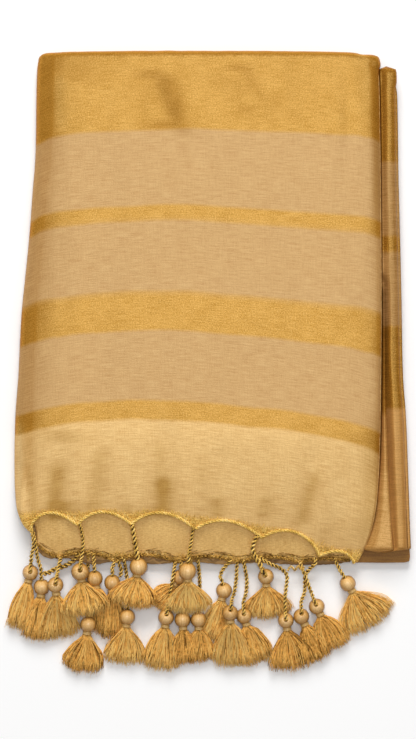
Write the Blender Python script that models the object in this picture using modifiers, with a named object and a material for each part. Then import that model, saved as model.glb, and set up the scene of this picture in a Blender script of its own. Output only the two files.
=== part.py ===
"""Folded tissue-silk saree, lying flat, with a scalloped and tasselled end.

Units are metres, +Z is up. The saree lies on z = 0 with its tassels towards -Y.
The saree is one length of cloth. Each stretch of it that shows is a solid of its
own, and the hidden layers are one rounded solid.
"""

import math

import bmesh
import bpy
from mathutils import Matrix, Vector

MM = 0.001

# Places are read off a square grid seen from above, in columns and rows of GRID.
# The width folded is a quarter of the 1.12 m cloth: 366 columns are 280 mm.
GRID = 0.280 / 366
MIDDLE_COLUMN = 207.75
MIDDLE_ROW = 360.8

# Cloth and stack
CLOTH_WALL = 1.2 * MM          # a wall stands for a few layers of tissue silk
LAYER_GAP = 0.5 * MM           # air between one wall and the next
UNDER_DROP = CLOTH_WALL + 1.0 * MM   # from the top stretch down to the one below it
SEAM_GAP = 0.3 * MM            # between pieces that touch
PACK_HEIGHT = 23.0 * MM        # top of the pack over the surface it lies on
HEM_HEIGHT = 9.2 * MM          # height of the pack at its tasselled end
SLOPE_ROW = 430.0              # the pack thins from this row
END_ROW = 560.0                # to this one
SLOPE_CURVE = 1.6              # and the faster the nearer its end
SIDE_DROP = 2.0 * MM           # its sides lie this much below its middle
BACK_DROP = 1.0 * MM           # and its back this much
BACK_DROP_ROWS = (110.0, 50.0)
CORE_GAP = 0.95 * MM           # from the panel's wall to the hidden layers
CORE_END_INSET = 4.0 * MM      # the hidden layers draw in from the sides at the end
CORE_END_ROWS = 80.0           # over this many rows
BASE_HEIGHT = 5.0 * MM         # the lowest layers
BASE_LAYERS = 3
LAYER_NIP = 0.55 * MM          # depth of the groove between two layers

# Roundness of the folds at the pack's sides: across and down
SIDE_ROLL = 8.0 * MM
TOP_ROLL = 5.5 * MM
RIGHT_ROLL = 3.5 * MM
ROLL_DEPTH = 10.5 * MM
TIGHT_ROLL = 2.1 * MM          # the tightest turn that the wall takes
ROLL_ANGLES = (30.0, 60.0, 90.0)
TAPER_ROW = 465.0              # from this row the sides get tighter and end higher
TAPER_ROWS = 62.0              # over this many rows
TAPER_SHARE = 0.72             # of their size is lost
# Lower rims of the panel: over the surface on the left, over the folds on the
# right, and below the hem at its two corners
LEFT_RIM = 0.8 * MM
RIGHT_RIM = 10.0 * MM
LEFT_SKIRT = 4.6 * MM
RIGHT_SKIRT = 3.2 * MM

# Trims
BINDING_RADIUS = 1.1 * MM
CORD_RADIUS = 0.95 * MM
BRAID_RADIUS = 1.5 * MM
HEAD_RADIUS = 5.9 * MM
NECK_RADIUS = 2.5 * MM
NECK_LENGTH = 2.6 * MM
ROOT_RADIUS = 3.6 * MM
ROOT_DROP = 0.6 * MM           # of the neck's end below the head's middle
LOCK_THICKNESS = 2.0 * MM
LOCK_PITCH = 2.35 * MM         # from one layer of a tassel's locks to the next

# Edges of the pack seen from above: row, column
LEFT_EDGE = (
    (52, 39.5), (65, 37), (95, 36), (155, 35), (195, 32), (235, 29), (275, 25),
    (315, 21), (375, 18), (415, 15), (475, 14), (505, 16), (515, 18.5), (525, 23),
    (531, 28), (540, 34), (552, 41),
)
RIGHT_EDGE = (
    (52, 379), (65, 380.5), (120, 380.5), (300, 382), (420, 381), (470, 379.5),
    (505, 376.5), (525, 373), (545, 367), (563, 358),
)
# Rows of sections through each stretch of cloth. The panel's last is its hem, and
# the core steps down under the second layer of the pallu at CORE_STEP_ROW.
PANEL_ROWS = (58.7, 100, 148, 200, 255, 310, 362, 405, 432, 457, 482, 507, 528)
CORE_ROWS = (58.7, 100, 148, 200, 255, 310, 362, 410, 450, 470, 488, 494, 512, 530, 543)
CORE_STEP_ROW = 490.0
UNDER_ROWS = (495, 510, 524, 538, 549)
EDGE_FOLD_ROWS = (73, 75, 80, 115, 175, 235, 295, 375, 415, 455, 505, 540, 547, 549)
ROLL_ROWS = (66, 68, 73, 90, 130, 175, 235, 283, 340, 400, 440, 480, 515, 538, 546, 549)
INNER_FOLD_ROWS = (285, 300, 340, 400, 440, 480, 515, 538, 546, 549)

# Right-hand folds: row, column of the outer side
INNER_FOLD_EDGE = (
    (283, 384.2), (340, 384.8), (400, 385.6), (440, 387.3), (480, 388.8),
    (515, 390.7), (549, 393),
)
ROLL_EDGE = (
    (66, 393.5), (72, 395.5), (115, 395.5), (175, 396), (215, 397), (295, 398.8),
    (375, 400.3), (415, 403), (455, 404.6), (505, 406), (549, 407),
)
EDGE_FOLD_EDGE = (
    (72, 395.5), (80, 397), (115, 397.5), (175, 398.5), (215, 399.5), (295, 401.3),
    (375, 402.8), (415, 405.5), (455, 407), (505, 408.3), (549, 409.5),
)

# Heights of the right-hand folds: at their full size, and at their lower ends
FOLD_END_ROWS = (440.0, 545.0)
EDGE_FOLD_THICKNESS = 2.5 * MM
ROLL_TOP = (15.5 * MM, 12.2 * MM)
INNER_FOLD_TOP = (16.2 * MM, 13.4 * MM)
SHELF = (11.0 * MM, 9.5 * MM)  # the roll's flat stretch, which carries the inner fold
INNER_FOLD_START = 283.0       # row where the inner fold comes out from under the panel

# The lowest layers' outline: column and row, anticlockwise from the back left.
# Its left side follows the panel's.
BASE_BACK_LEFT = ((50, 55.6), (44, 62))
BASE_FRONT = ((25, 508), (39, 532), (48, 545), (60, 551), (330, 552.5), (349, 555), (357, 563))
BASE_RIGHT = (
    (408.5, 563), (410.8, 561), (410.2, 545), (407.2, 480), (403.5, 415), (399, 300),
    (396.5, 175), (395, 85), (391, 76), (377, 72), (372, 55.6),
)

# Scallops of the top hem: column and row of each knot, and how far the edge
# rises, in rows, half way to the next knot
HEM_KNOTS = (
    (33, 531, 15.5), (82, 524, 12.5), (133, 523, 13.5), (192, 528, 12.5),
    (254, 537, 15), (316, 555, 8), (357, 563, 0),
)
# Scallops of the hem below it, with the same columns
UNDER_KNOTS = (
    (36.5, 543, -3), (60, 557, 6.5), (115, 561, 7), (176, 562, 6), (238, 562, 5),
    (300, 562, 3), (350.5, 560.5, 0),
)
SCALLOP_STEPS = 5
HEM_ROW = 528.0                # mean row of the top hem
UNDER_HEM_ROW = 558.0          # mean row of the hem below it
FOLLOW_ROWS = (400.0, 515.0)   # the cloth's weave bends to the scallops over these

# Soft creases pressed into the top panel: column and row of both ends, half
# width in columns, depth in mm
CREASE_FADE = 0.35             # share of its length over which each end fades
CREASES = (
    (50, 60, 44, 150, 9, 0.9),
    (181, 66, 170, 128, 11, 0.8),
    (258, 66, 262, 132, 10, 0.6),
    (352, 80, 354, 160, 8, 0.6),
    (64, 450, 76, 520, 9, 0.9),
    (165, 440, 162, 500, 10, 0.7),
    (232, 462, 222, 512, 9, 0.7),
    (318, 470, 296, 525, 11, 0.9),
)

# Tassels: place of the head (column, row, height of its middle in mm), place of
# the middle of the skirt's end, its width in columns, the height in mm of the
# lowest lock there, and the angles over the head, in degrees up from its back,
# from which and to which its cord lies on it
TASSELS = (
    ("01", 30, 573, 6.3, 16.5, 622, 25, 0.4, 35, 70),
    ("02", 41.5, 587.5, 6.3, 37, 634, 12, 0.4, 20, 20),
    ("03", 55.5, 585, 11.7, 59.5, 633, 27, 0.4, 10, 70),
    ("04", 80, 572, 10.2, 86, 612, 37, 8.0, 15, 65),
    ("05", 94.5, 579, 6.3, 102, 625, 8, 0.4, 20, 20),
    ("06", 112, 583, 6.3, 112, 632, 10, 0.4, 20, 20),
    ("07", 138.5, 567, 9.6, 132, 604, 38, 8.0, 20, 20),
    ("08", 88, 625, 6.3, 82, 668, 33, 0.4, 0, 0),
    ("09", 127, 617.5, 6.3, 123, 660, 34, 0.4, 0, 0),
    ("10", 187.5, 571, 15.9, 189, 610, 37, 8.0, 10, 10),
    ("11", 180.5, 578, 6.3, 159, 605, 16, 0.4, 0, 0),
    ("12", 166, 618, 6.3, 161, 665, 30, 0.4, 35, 50),
    ("13", 182.5, 620, 6.3, 185, 660, 14, 0.4, 0, 0),
    ("14", 198.5, 620, 6.3, 199.5, 658, 13, 0.4, 0, 0),
    ("15", 224, 591, 6.3, 214, 636, 19, 0.4, 30, 30),
    ("16", 230, 613, 11.4, 232, 661, 22, 0.4, 20, 50),
    ("17", 244, 616.5, 6.3, 256, 660, 23, 0.4, 30, 60),
    ("18", 266, 577, 7.5, 271, 609, 36, 2.0, 35, 65),
    ("19", 286, 621, 6.3, 293, 666, 33, 0.4, 35, 70),
    ("20", 301.5, 617, 6.3, 318, 656, 9, 0.4, 30, 50),
    ("21", 317, 607, 6.3, 334, 646, 21, 0.4, 35, 60),
    ("22", 348, 584, 6.3, 370, 617, 44, 0.4, 20, 20),
)

# Cords: name, tassel whose head it runs on to, radius, and its route before
# that as column, row, height in mm
CORDS = (
    ("01", "01", CORD_RADIUS, ((33.2, 533.9, 13.6), (33.5, 545, 12.2), (31.5, 556, 11.6))),
    ("02a", "02", CORD_RADIUS,
     ((36.8, 535.2, 12.9), (38.2, 548, 12.0), (38.7, 562, 10.6), (41, 570, 10.2))),
    ("02b", "", CORD_RADIUS,
     ((78, 557.7, 7.5), (70, 563, 4.5), (60, 569, 3.4), (52, 572.5, 5.5), (46.4, 575.5, 9.6))),
    ("03", "03", CORD_RADIUS, ((60, 560.9, 7.1), (58.6, 567, 9.8))),
    ("04", "04", CORD_RADIUS, ((82, 527.9, 14.4), (83, 541, 12.0), (82, 553, 11.4))),
    ("05", "05", CORD_RADIUS, ((93, 558.5, 7.9), (94, 563, 9.2))),
    ("06a", "06", CORD_RADIUS, ((114, 564.8, 6.8), (112.3, 568, 8.2))),
    ("06b", "", CORD_RADIUS, ((118.4, 563.9, 6.9), (121, 571, 5.4), (119.7, 577.3, 5.2))),
    ("07", "07", BRAID_RADIUS, ((133, 527, 14.4), (134.5, 540, 13.0), (136.2, 550, 12.6))),
    ("08", "08", CORD_RADIUS,
     ((87.5, 556.5, 7.6), (87.5, 563, 3.2), (87.6, 575, 1.5), (88.3, 595, 1.5), (89.4, 606, 4.2))),
    ("09", "09", CORD_RADIUS,
     ((124, 562.8, 6.9), (125, 568, 3.4), (126.5, 578, 1.5), (127.8, 592, 1.5), (128, 599, 3.6))),
    ("10", "10", CORD_RADIUS, ((192, 531.9, 13.9), (191, 543, 13.0), (189.4, 551, 14.6))),
    ("11", "", CORD_RADIUS, ((181.3, 565.3, 6.4), (180.5, 569.6, 6.2))),
    ("12", "12", CORD_RADIUS,
     ((175, 565.8, 6.9), (174, 571, 10.0), (172.4, 580, 12.0), (170, 592, 10.6), (168, 603, 10.4))),
    ("13", "", CORD_RADIUS,
     ((191, 561.6, 7.2), (190.7, 568, 4.0), (190.5, 580, 1.5), (186, 597, 1.5), (182.6, 611.4, 4.6))),
    ("14", "", CORD_RADIUS,
     ((198, 560.5, 7.3), (198.5, 568, 4.0), (199.5, 580, 1.5), (199.5, 597, 1.5), (198.6, 611.4, 4.6))),
    ("15", "15", CORD_RADIUS,
     ((229, 564.1, 6.9), (223.5, 569, 7.2), (220.5, 576, 9.4))),
    ("16", "16", CORD_RADIUS,
     ((236.5, 565.3, 6.9), (236.3, 580, 4.6), (234.5, 592, 7.4), (232, 600, 11.6))),
    ("17", "17", CORD_RADIUS,
     ((244, 564.1, 7.0), (246.8, 580, 4.6), (246, 594, 5.4), (243.5, 602, 8.2))),
    ("18", "18", BRAID_RADIUS,
     ((254, 541, 12.6), (252.5, 548, 11.8), (255, 556, 11.2), (259, 562.5, 11.4))),
    ("19", "19", CORD_RADIUS,
     ((261.8, 560.9, 10.8), (272, 565, 9.2), (281, 569, 8.4), (287, 576, 9.0), (285.8, 590, 11.2),
      (284.8, 603, 11.2))),
    ("20", "20", CORD_RADIUS,
     ((316, 560.1, 9.6), (315, 564, 9.6), (310, 569, 6.8), (305.5, 577, 4.4), (305, 592, 4.2),
      (301.5, 602, 7.4))),
    ("21", "21", CORD_RADIUS,
     ((300.5, 565.9, 6.7), (304.5, 574, 7.9), (308.5, 585, 6.6), (311.6, 593, 8.4))),
    ("22", "22", CORD_RADIUS, ((336, 563.1, 6.9), (339.5, 569, 8.2))),
)
CORD_STEP = 3.8 * MM           # distance between a cord's points
HEAD_GAP = 0.5 * MM            # from a cord to its head

# A tassel's nine locks lie in three layers, three across. Layers from the lowest:
# shift sideways and spread, as shares of the end's width
LOCK_LAYERS = ((0.08, 0.34), (-0.10, 0.36), (0.05, 0.31))
LOCK_REACHES = (0.97, 1.0, 0.93)     # share of the tassel's length, in turn
LOCK_STEPS = (0.07, 0.5, 1.0)        # sections along a lock
LOCKS_ACROSS_END = 3.6               # lock widths that would fill the end's width
HEAD_ANGLES = (32, 62, 90, 118, 146) # rings of the head, from its back

COLOURS = {
    "pallu": ((0.68, 0.42, 0.18), 0.45, 0.25),
    "folds": ((0.50, 0.28, 0.09), 0.45, 0.25),
    "body": ((0.20, 0.10, 0.03), 0.60, 0.10),
    "metallic": ((0.55, 0.33, 0.06), 0.35, 0.60),
    "cotton": ((0.62, 0.35, 0.09), 0.80, 0.0),
}


def column(value):
    """World x of a grid column."""
    return (value - MIDDLE_COLUMN) * GRID


def row(value):
    """World y of a grid row."""
    return (MIDDLE_ROW - value) * GRID


def smooth_step(value):
    """0 to 1 with a soft start and end."""
    t = min(max(value, 0.0), 1.0)
    return t * t * (3.0 - 2.0 * t)


def read_table(table, at):
    """Value of a (position, value) table at a position, on a smooth curve."""
    if at <= table[0][0]:
        return table[0][1]
    if at >= table[-1][0]:
        return table[-1][1]
    i = 0
    while table[i + 1][0] < at:
        i += 1
    (x0, y0), (x1, y1) = table[i], table[i + 1]
    before = table[max(i - 1, 0)]
    after = table[min(i + 2, len(table) - 1)]
    slope0 = (y1 - before[1]) / (x1 - before[0])
    slope1 = (after[1] - y0) / (after[0] - x0)
    span = x1 - x0
    t = (at - x0) / span
    return (
        (2 * t**3 - 3 * t**2 + 1) * y0
        + (t**3 - 2 * t**2 + t) * span * slope0
        + (3 * t**2 - 2 * t**3) * y1
        + (t**3 - t**2) * span * slope1
    )


def smooth_route(points, step):
    """Evenly spaced points on a smooth curve through the given ones."""
    ends = [points[0] * 2 - points[1], *points, points[-1] * 2 - points[-2]]
    fine = []
    for p0, p1, p2, p3 in zip(ends, ends[1:], ends[2:], ends[3:]):
        for k in range(12):
            t = k / 12
            fine.append(
                0.5 * (
                    2 * p1
                    + (p2 - p0) * t
                    + (2 * p0 - 5 * p1 + 4 * p2 - p3) * t**2
                    + (3 * p1 - p0 - 3 * p2 + p3) * t**3
                )
            )
    fine.append(points[-1])
    lengths = [0.0]
    for a, b in zip(fine, fine[1:]):
        lengths.append(lengths[-1] + (b - a).length)
    count = max(2, round(lengths[-1] / step))
    route = []
    i = 0
    for k in range(count + 1):
        goal = lengths[-1] * k / count
        while i < len(fine) - 2 and lengths[i + 1] < goal:
            i += 1
        part = (goal - lengths[i]) / (lengths[i + 1] - lengths[i])
        route.append(fine[i].lerp(fine[i + 1], part))
    return route


def scallop_points(knots):
    """(column, row) along a scalloped hem, SCALLOP_STEPS to a scallop."""
    points = []
    for (c0, r0, rise), (c1, r1, _) in zip(knots, knots[1:]):
        for k in range(SCALLOP_STEPS):
            t = k / SCALLOP_STEPS
            points.append((c0 + (c1 - c0) * t, r0 + (r1 - r0) * t - 4 * rise * t * (1 - t)))
    points.append(knots[-1][:2])
    return points


def crease_depth(col, line):
    """How far the creases press the cloth down at a place."""
    depth = 0.0
    for c0, r0, c1, r1, half_width, deep in CREASES:
        along = (line - r0) / (r1 - r0)
        ends = smooth_step(along / CREASE_FADE + 1) * smooth_step((1 - along) / CREASE_FADE + 1)
        away = (col - (c0 + (c1 - c0) * min(max(along, 0), 1))) / half_width
        depth += deep * MM * ends * math.exp(-away * away)
    return depth


def hem_taper(line):
    """0 to 1 as the sides of the pack change towards the hem."""
    return smooth_step((line - TAPER_ROW) / TAPER_ROWS)


def pack_height(col, line):
    """Height of the pack's top at a place, before its sides roll down."""
    t = min(max((line - SLOPE_ROW) / (END_ROW - SLOPE_ROW), 0.0), 1.05)
    slope = (PACK_HEIGHT - HEM_HEIGHT) * t**SLOPE_CURVE
    left = read_table(LEFT_EDGE, line)
    right = read_table(RIGHT_EDGE, line)
    across = 2 * (col - left) / (right - left) - 1
    pillow = SIDE_DROP * abs(across) ** 4 * (1 - hem_taper(line))
    start, end = BACK_DROP_ROWS
    pillow += BACK_DROP * smooth_step((start - line) / (start - end))
    return PACK_HEIGHT - slope - pillow - crease_depth(col, line)


def roll_size(size, line):
    """Width or depth of a side fold: it gets tighter towards the hem."""
    return max(size * (1.0 - TAPER_SHARE * hem_taper(line)), TIGHT_ROLL)


def left_limit(line):
    """Column where the top starts to roll down on the left."""
    return read_table(LEFT_EDGE, line) + roll_size(SIDE_ROLL, line) / GRID


def right_limit(line):
    """Column where the top starts to roll down on the right."""
    return read_table(RIGHT_EDGE, line) - roll_size(RIGHT_ROLL, line) / GRID


def left_rim(line):
    """Height of the lower rim of the left side."""
    hem = pack_height(left_limit(line), line) - LEFT_SKIRT
    return LEFT_RIM + (hem - LEFT_RIM) * hem_taper(line)


def right_rim(line):
    """Height of the lower rim of the right side, beside the roll."""
    hem = pack_height(right_limit(line), line) - RIGHT_SKIRT
    return RIGHT_RIM + (hem - RIGHT_RIM) * hem_taper(line)


def side_profile(line, inset, side_inset):
    """Both side rolls at a row: (x, z) from the flat top out to each rim.

    inset moves the profile inwards, for what lies under the panel, and
    side_inset moves its sides in further.
    """
    sides = []
    for limit, roll, rim, sign in (
        (left_limit(line), SIDE_ROLL, left_rim(line), -1),
        (right_limit(line), RIGHT_ROLL, right_rim(line), 1),
    ):
        start = pack_height(limit, line)
        across = max(roll_size(roll, line) - inset, SEAM_GAP)
        depth = max(min(roll_size(ROLL_DEPTH, line), (start - rim) * 0.8) - inset, SEAM_GAP)
        points = []
        for angle in ROLL_ANGLES:
            a = math.radians(angle)
            x = column(limit) + sign * (across * math.sin(a) - side_inset)
            z = start - inset - depth * (1 - math.cos(a))
            points.append((x, z))
        points.append((points[-1][0], rim))
        sides.append(points)
    return sides


def hem_line(line, hem_row):
    """Row of the cloth at a column whose hem is at hem_row: rows follow the
    scallops more and more towards the hem."""
    start, end = FOLLOW_ROWS
    return line + smooth_step((line - start) / (end - start)) * (hem_row - HEM_ROW)


def make_material(name):
    """A plain material in the piece's colour."""
    colour, roughness, metallic = COLOURS[name]
    material = bpy.data.materials.get(name) or bpy.data.materials.new(name)
    material.use_nodes = True
    shader = material.node_tree.nodes["Principled BSDF"]
    shader.inputs["Base Color"].default_value = (*colour, 1.0)
    shader.inputs["Roughness"].default_value = roughness
    shader.inputs["Metallic"].default_value = metallic
    return material


def add_piece(name, mesh, material, collection):
    """Put a mesh in the collection as a piece."""
    piece = bpy.data.objects.new(name, mesh)
    mesh.materials.append(make_material(material))
    mesh.shade_smooth()
    mesh.set_sharp_from_angle(angle=math.radians(50))
    collection.objects.link(piece)
    return piece


def sheet_mesh(name, rows):
    """An open sheet over rows of points."""
    bm = bmesh.new()
    grid = [[bm.verts.new(point) for point in points] for points in rows]
    for upper, lower in zip(grid, grid[1:]):
        for k in range(len(upper) - 1):
            bm.faces.new((upper[k], lower[k], lower[k + 1], upper[k + 1]))
    mesh = bpy.data.meshes.new(name)
    bm.to_mesh(mesh)
    bm.free()
    return mesh


def loft_mesh(name, rings, poke_ends=False):
    """A closed solid through rings of points. Its ends are one flat face each, or
    a fan of triangles where they aren't flat."""
    bm = bmesh.new()
    loops = [[bm.verts.new(point) for point in ring] for ring in rings]
    count = len(loops[0])
    for first, second in zip(loops, loops[1:]):
        for k in range(count):
            n = (k + 1) % count
            bm.faces.new((first[k], first[n], second[n], second[k]))
    ends = [bm.faces.new(loops[0][::-1]), bm.faces.new(loops[-1])]
    if poke_ends:
        bmesh.ops.poke(bm, faces=ends, center_mode="BOUNDS")
    bmesh.ops.recalc_face_normals(bm, faces=bm.faces)
    mesh = bpy.data.meshes.new(name)
    bm.to_mesh(mesh)
    bm.free()
    return mesh


def add_wall(piece):
    """Give a sheet the wall of the cloth, inwards from its outer face."""
    wall = piece.modifiers.new("cloth wall", "SOLIDIFY")
    wall.thickness = CLOTH_WALL
    wall.offset = -1.0
    wall.use_even_offset = True


def top_row(lines, columns, inset, side_inset=0.0):
    """One row of points across the pack, from rim to rim.

    lines holds the grid row at each fraction across in columns.
    """
    left = side_profile(lines[0], inset, side_inset)[0]
    right = side_profile(lines[-1], inset, side_inset)[1]
    shift = side_inset / GRID
    points = [Vector((x, row(lines[0]), z)) for x, z in left[::-1]]
    for line, across in zip(lines, columns):
        start = left_limit(line) + shift
        col = start + across * (right_limit(line) - shift - start)
        points.append(Vector((column(col), row(line), pack_height(col, line) - inset)))
    points += [Vector((x, row(lines[-1]), z)) for x, z in right]
    return points


def back_rows(first_row, inset, rim):
    """Rows that roll the first row over the back of the pack and down to its rim.

    Where the back meets a side, both rolls turn together in one round corner.
    """
    levels = len(ROLL_ANGLES) + 1
    count = len(first_row)
    rows = []
    for level in range(levels, 0, -1):
        lowered = []
        for k, point in enumerate(first_row):
            side_level = max(levels - k, k - (count - 1 - levels), 0)
            deep = max(level, side_level)
            turn = math.pi / 4 * min(level, side_level) / deep
            if level > side_level:
                turn = math.pi / 2 - turn
            corner = first_row[min(max(k, levels), count - 1 - levels)]
            sign = -1 if k < count / 2 else 1
            side_roll = (SIDE_ROLL if sign < 0 else RIGHT_ROLL) - inset
            angle = math.radians(ROLL_ANGLES[min(deep, levels - 1) - 1])
            out = math.sin(angle)
            z = corner.z - (ROLL_DEPTH - inset) * (1 - math.cos(angle))
            if deep == levels:
                z = rim
            x = corner.x + (sign * side_roll * out * math.cos(turn) if side_level else 0)
            y = corner.y + (TOP_ROLL - inset) * out * math.sin(turn)
            lowered.append(Vector((x, y, z)))
        rows.append(lowered)
    return rows


def panel_columns():
    """Fractions across the flat top of the panel's columns, one at each hem point."""
    hem = scallop_points(HEM_KNOTS)
    first, last = hem[0][0], hem[-1][0]
    return [(c - first) / (last - first) for c, _ in hem]


def build_top_panel(collection):
    """The pallu's top stretch, a wall that rolls over the back and both sides."""
    hem = scallop_points(HEM_KNOTS)
    columns = panel_columns()
    rows = [top_row([hem_line(at, h) for _, h in hem], columns, 0.0) for at in PANEL_ROWS]
    rows = back_rows(rows[0], 0.0, LEFT_RIM) + rows
    panel = add_piece("pallu_top_panel", sheet_mesh("pallu_top_panel", rows), "pallu", collection)
    add_wall(panel)
    return rows[-1]


def core_ring(points, bottom):
    """A row of the core's top, closed along its flat bottom."""
    lowest = bottom + 2 * SEAM_GAP
    ring = [Vector((p.x, p.y, max(p.z, lowest))) for p in points[1:-1]]
    ring.append(Vector((ring[-1].x, ring[-1].y, bottom)))
    ring.append(Vector((ring[0].x, ring[0].y, bottom)))
    return ring


def build_core(collection):
    """The hidden layers, one rounded solid between the panel and the base."""
    columns = panel_columns()
    bottom = BASE_HEIGHT + SEAM_GAP
    top_inset = CLOTH_WALL + CORE_GAP
    end_inset = UNDER_DROP + CLOTH_WALL + 2 * SEAM_GAP
    rows = []
    for line in CORE_ROWS:
        inset = top_inset if line < CORE_STEP_ROW else end_inset
        side_inset = CORE_GAP + CORE_END_INSET * smooth_step((line - SLOPE_ROW) / CORE_END_ROWS)
        rows.append(top_row([line] * len(columns), columns, inset, side_inset))
    back = back_rows(rows[0], top_inset, bottom)[1:]
    rings = [core_ring(points, bottom) for points in back + rows]
    add_piece("folded_core", loft_mesh("folded_core", rings, poke_ends=True), "folds", collection)


def build_under_layer(collection):
    """The stretch below the top hem, which shows through its scallops."""
    hem = scallop_points(UNDER_KNOTS)
    first, last = hem[0][0], hem[-1][0]
    side_gap = 3 * SEAM_GAP / GRID
    rows = []
    for line in UNDER_ROWS:
        follow = smooth_step((line - UNDER_ROWS[0]) / (UNDER_HEM_ROW - UNDER_ROWS[0]))
        points = []
        for col, hem_row in hem:
            at = line + follow * (hem_row - UNDER_HEM_ROW)
            left = left_limit(at) + side_gap
            right = right_limit(at) - side_gap
            across = (col - first) / (last - first)
            place = left + across * (right - left)
            place += (col - place) * follow
            z = pack_height(place, at) - UNDER_DROP
            points.append(Vector((column(place), row(at), z)))
        rows.append(points)
    edge = []
    lowest = BASE_HEIGHT + CLOTH_WALL + 2 * SEAM_GAP
    for col, hem_row in hem:
        z = max(pack_height(col, hem_row) - UNDER_DROP, lowest)
        edge.append(Vector((column(col), row(hem_row), z)))
    rows.append(edge)
    layer = add_piece("pallu_under_layer", sheet_mesh("pallu_under_layer", rows), "pallu", collection)
    add_wall(layer)
    return edge


def fold_height(heights, line):
    """A right-hand fold keeps its height, then thins towards its lower end."""
    full, end = heights
    first, last = FOLD_END_ROWS
    return full + (end - full) * smooth_step((line - first) / (last - first))


def end_taper(line, rows, length):
    """Near 0 at a fold's ends and 1 over its length: rounds its ends off."""
    near = min(line - rows[0] + 1, rows[-1] + 1 - line) / length
    return math.sqrt(1 - (1 - min(near, 1.0)) ** 2)


def build_edge_fold(collection):
    """The thin folded edge outside the roll, with a groove between its layers."""
    edge_bottom = BASE_HEIGHT + SEAM_GAP
    edge_top = edge_bottom + EDGE_FOLD_THICKNESS
    rings = []
    for line in EDGE_FOLD_ROWS:
        y = row(line)
        left = column(read_table(RIGHT_EDGE, line)) + LAYER_GAP
        taper = end_taper(line, EDGE_FOLD_ROWS, 4)
        right = column(read_table(EDGE_FOLD_EDGE, line)) - 1.5 * MM * (1 - taper)
        half = (edge_top - edge_bottom) / 2
        rings.append([
            Vector((left, y, edge_bottom)),
            Vector((right - 0.8 * MM, y, edge_bottom)),
            Vector((right, y, edge_bottom + 0.5 * MM)),
            Vector((right - 0.5 * MM, y, edge_bottom + half)),
            Vector((right, y, edge_top - 0.5 * MM)),
            Vector((right - 0.8 * MM, y, edge_top)),
            Vector((left, y, edge_top)),
        ])
    add_piece("right_edge_fold", loft_mesh("right_edge_fold", rings), "folds", collection)
    return edge_top


def build_roll(edge_top, collection):
    """The rounded fold beside the panel. Its inner side carries the inner fold."""
    roll_bottom = edge_top + SEAM_GAP
    rings = []
    for line in ROLL_ROWS:
        y = row(line)
        left = column(read_table(RIGHT_EDGE, line)) + LAYER_GAP
        right = column(read_table(ROLL_EDGE, line))
        taper = end_taper(line, ROLL_ROWS, 9)
        top = roll_bottom + (fold_height(ROLL_TOP, line) - roll_bottom) * taper
        inner = left + 0.8 * MM
        if line >= INNER_FOLD_START:
            inner = column(read_table(INNER_FOLD_EDGE, line)) + SEAM_GAP
        step = min(fold_height(SHELF, line), top - 0.6 * MM)
        middle = (inner + right) / 2
        rings.append([
            Vector((left, y, roll_bottom)),
            Vector((right - 1.2 * MM, y, roll_bottom)),
            Vector((right, y, roll_bottom + 0.25 * (top - roll_bottom))),
            Vector((right - 0.2 * MM, y, roll_bottom + 0.6 * (top - roll_bottom))),
            Vector((right - 1.6 * MM, y, roll_bottom + 0.88 * (top - roll_bottom))),
            Vector((middle + 0.5 * MM, y, top)),
            Vector((middle - 2.2 * MM, y, top - 0.5 * MM)),
            Vector((inner, y, step)),
            Vector((left, y, step)),
        ])
    add_piece("right_roll", loft_mesh("right_roll", rings), "folds", collection)


def build_inner_fold(collection):
    """The narrow fold between the panel and the roll."""
    rings = []
    for line in INNER_FOLD_ROWS:
        y = row(line)
        left = column(read_table(RIGHT_EDGE, line)) + LAYER_GAP
        right = column(read_table(INNER_FOLD_EDGE, line))
        bottom = fold_height(SHELF, line) + SEAM_GAP
        taper = end_taper(line, INNER_FOLD_ROWS, 9)
        top = bottom + (fold_height(INNER_FOLD_TOP, line) - bottom) * taper
        round_off = min(1.4 * MM, 0.4 * (right - left))
        rings.append([
            Vector((left, y, bottom)),
            Vector((right - 0.5 * round_off, y, bottom)),
            Vector((right, y, bottom + 0.35 * (top - bottom))),
            Vector((right, y, bottom + 0.7 * (top - bottom))),
            Vector((right - round_off, y, top)),
            Vector((left + 0.3 * (right - left), y, top)),
            Vector((left, y, top - 0.5 * MM * taper)),
        ])
    add_piece("right_inner_fold", loft_mesh("right_inner_fold", rings), "folds", collection)


def base_outline():
    """Outline of the lowest layers from above, anticlockwise."""
    inside = (CLOTH_WALL + 4 * SEAM_GAP) / GRID
    lines = [line for line in PANEL_ROWS[1:] if line < BASE_FRONT[0][1]]
    left = [(read_table(LEFT_EDGE, line) + inside, line) for line in lines]
    outline = [*BASE_BACK_LEFT, *left, *BASE_FRONT, *BASE_RIGHT]
    return [Vector((column(c), row(r), 0)) for c, r in outline]


def build_base(collection):
    """The lowest layers: a flat stack whose layers show at its edges."""
    outline = base_outline()
    count = len(outline)
    inward = []
    for k, point in enumerate(outline):
        side = (outline[(k + 1) % count] - outline[k - 1]).normalized()
        inward.append(Vector((-side.y, side.x, 0)))
    thickness = BASE_HEIGHT / BASE_LAYERS
    rings = []
    for layer in range(BASE_LAYERS):
        for height, inset in ((0.0, LAYER_NIP), (0.28, 0.0), (0.72, 0.0)):
            z = (layer + height) * thickness
            rings.append([p + n * inset + Vector((0, 0, z)) for p, n in zip(outline, inward)])
    top = Vector((0, 0, BASE_HEIGHT))
    rings.append([p + n * LAYER_NIP + top for p, n in zip(outline, inward)])
    add_piece("base_layers", loft_mesh("base_layers", rings), "body", collection)


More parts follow.
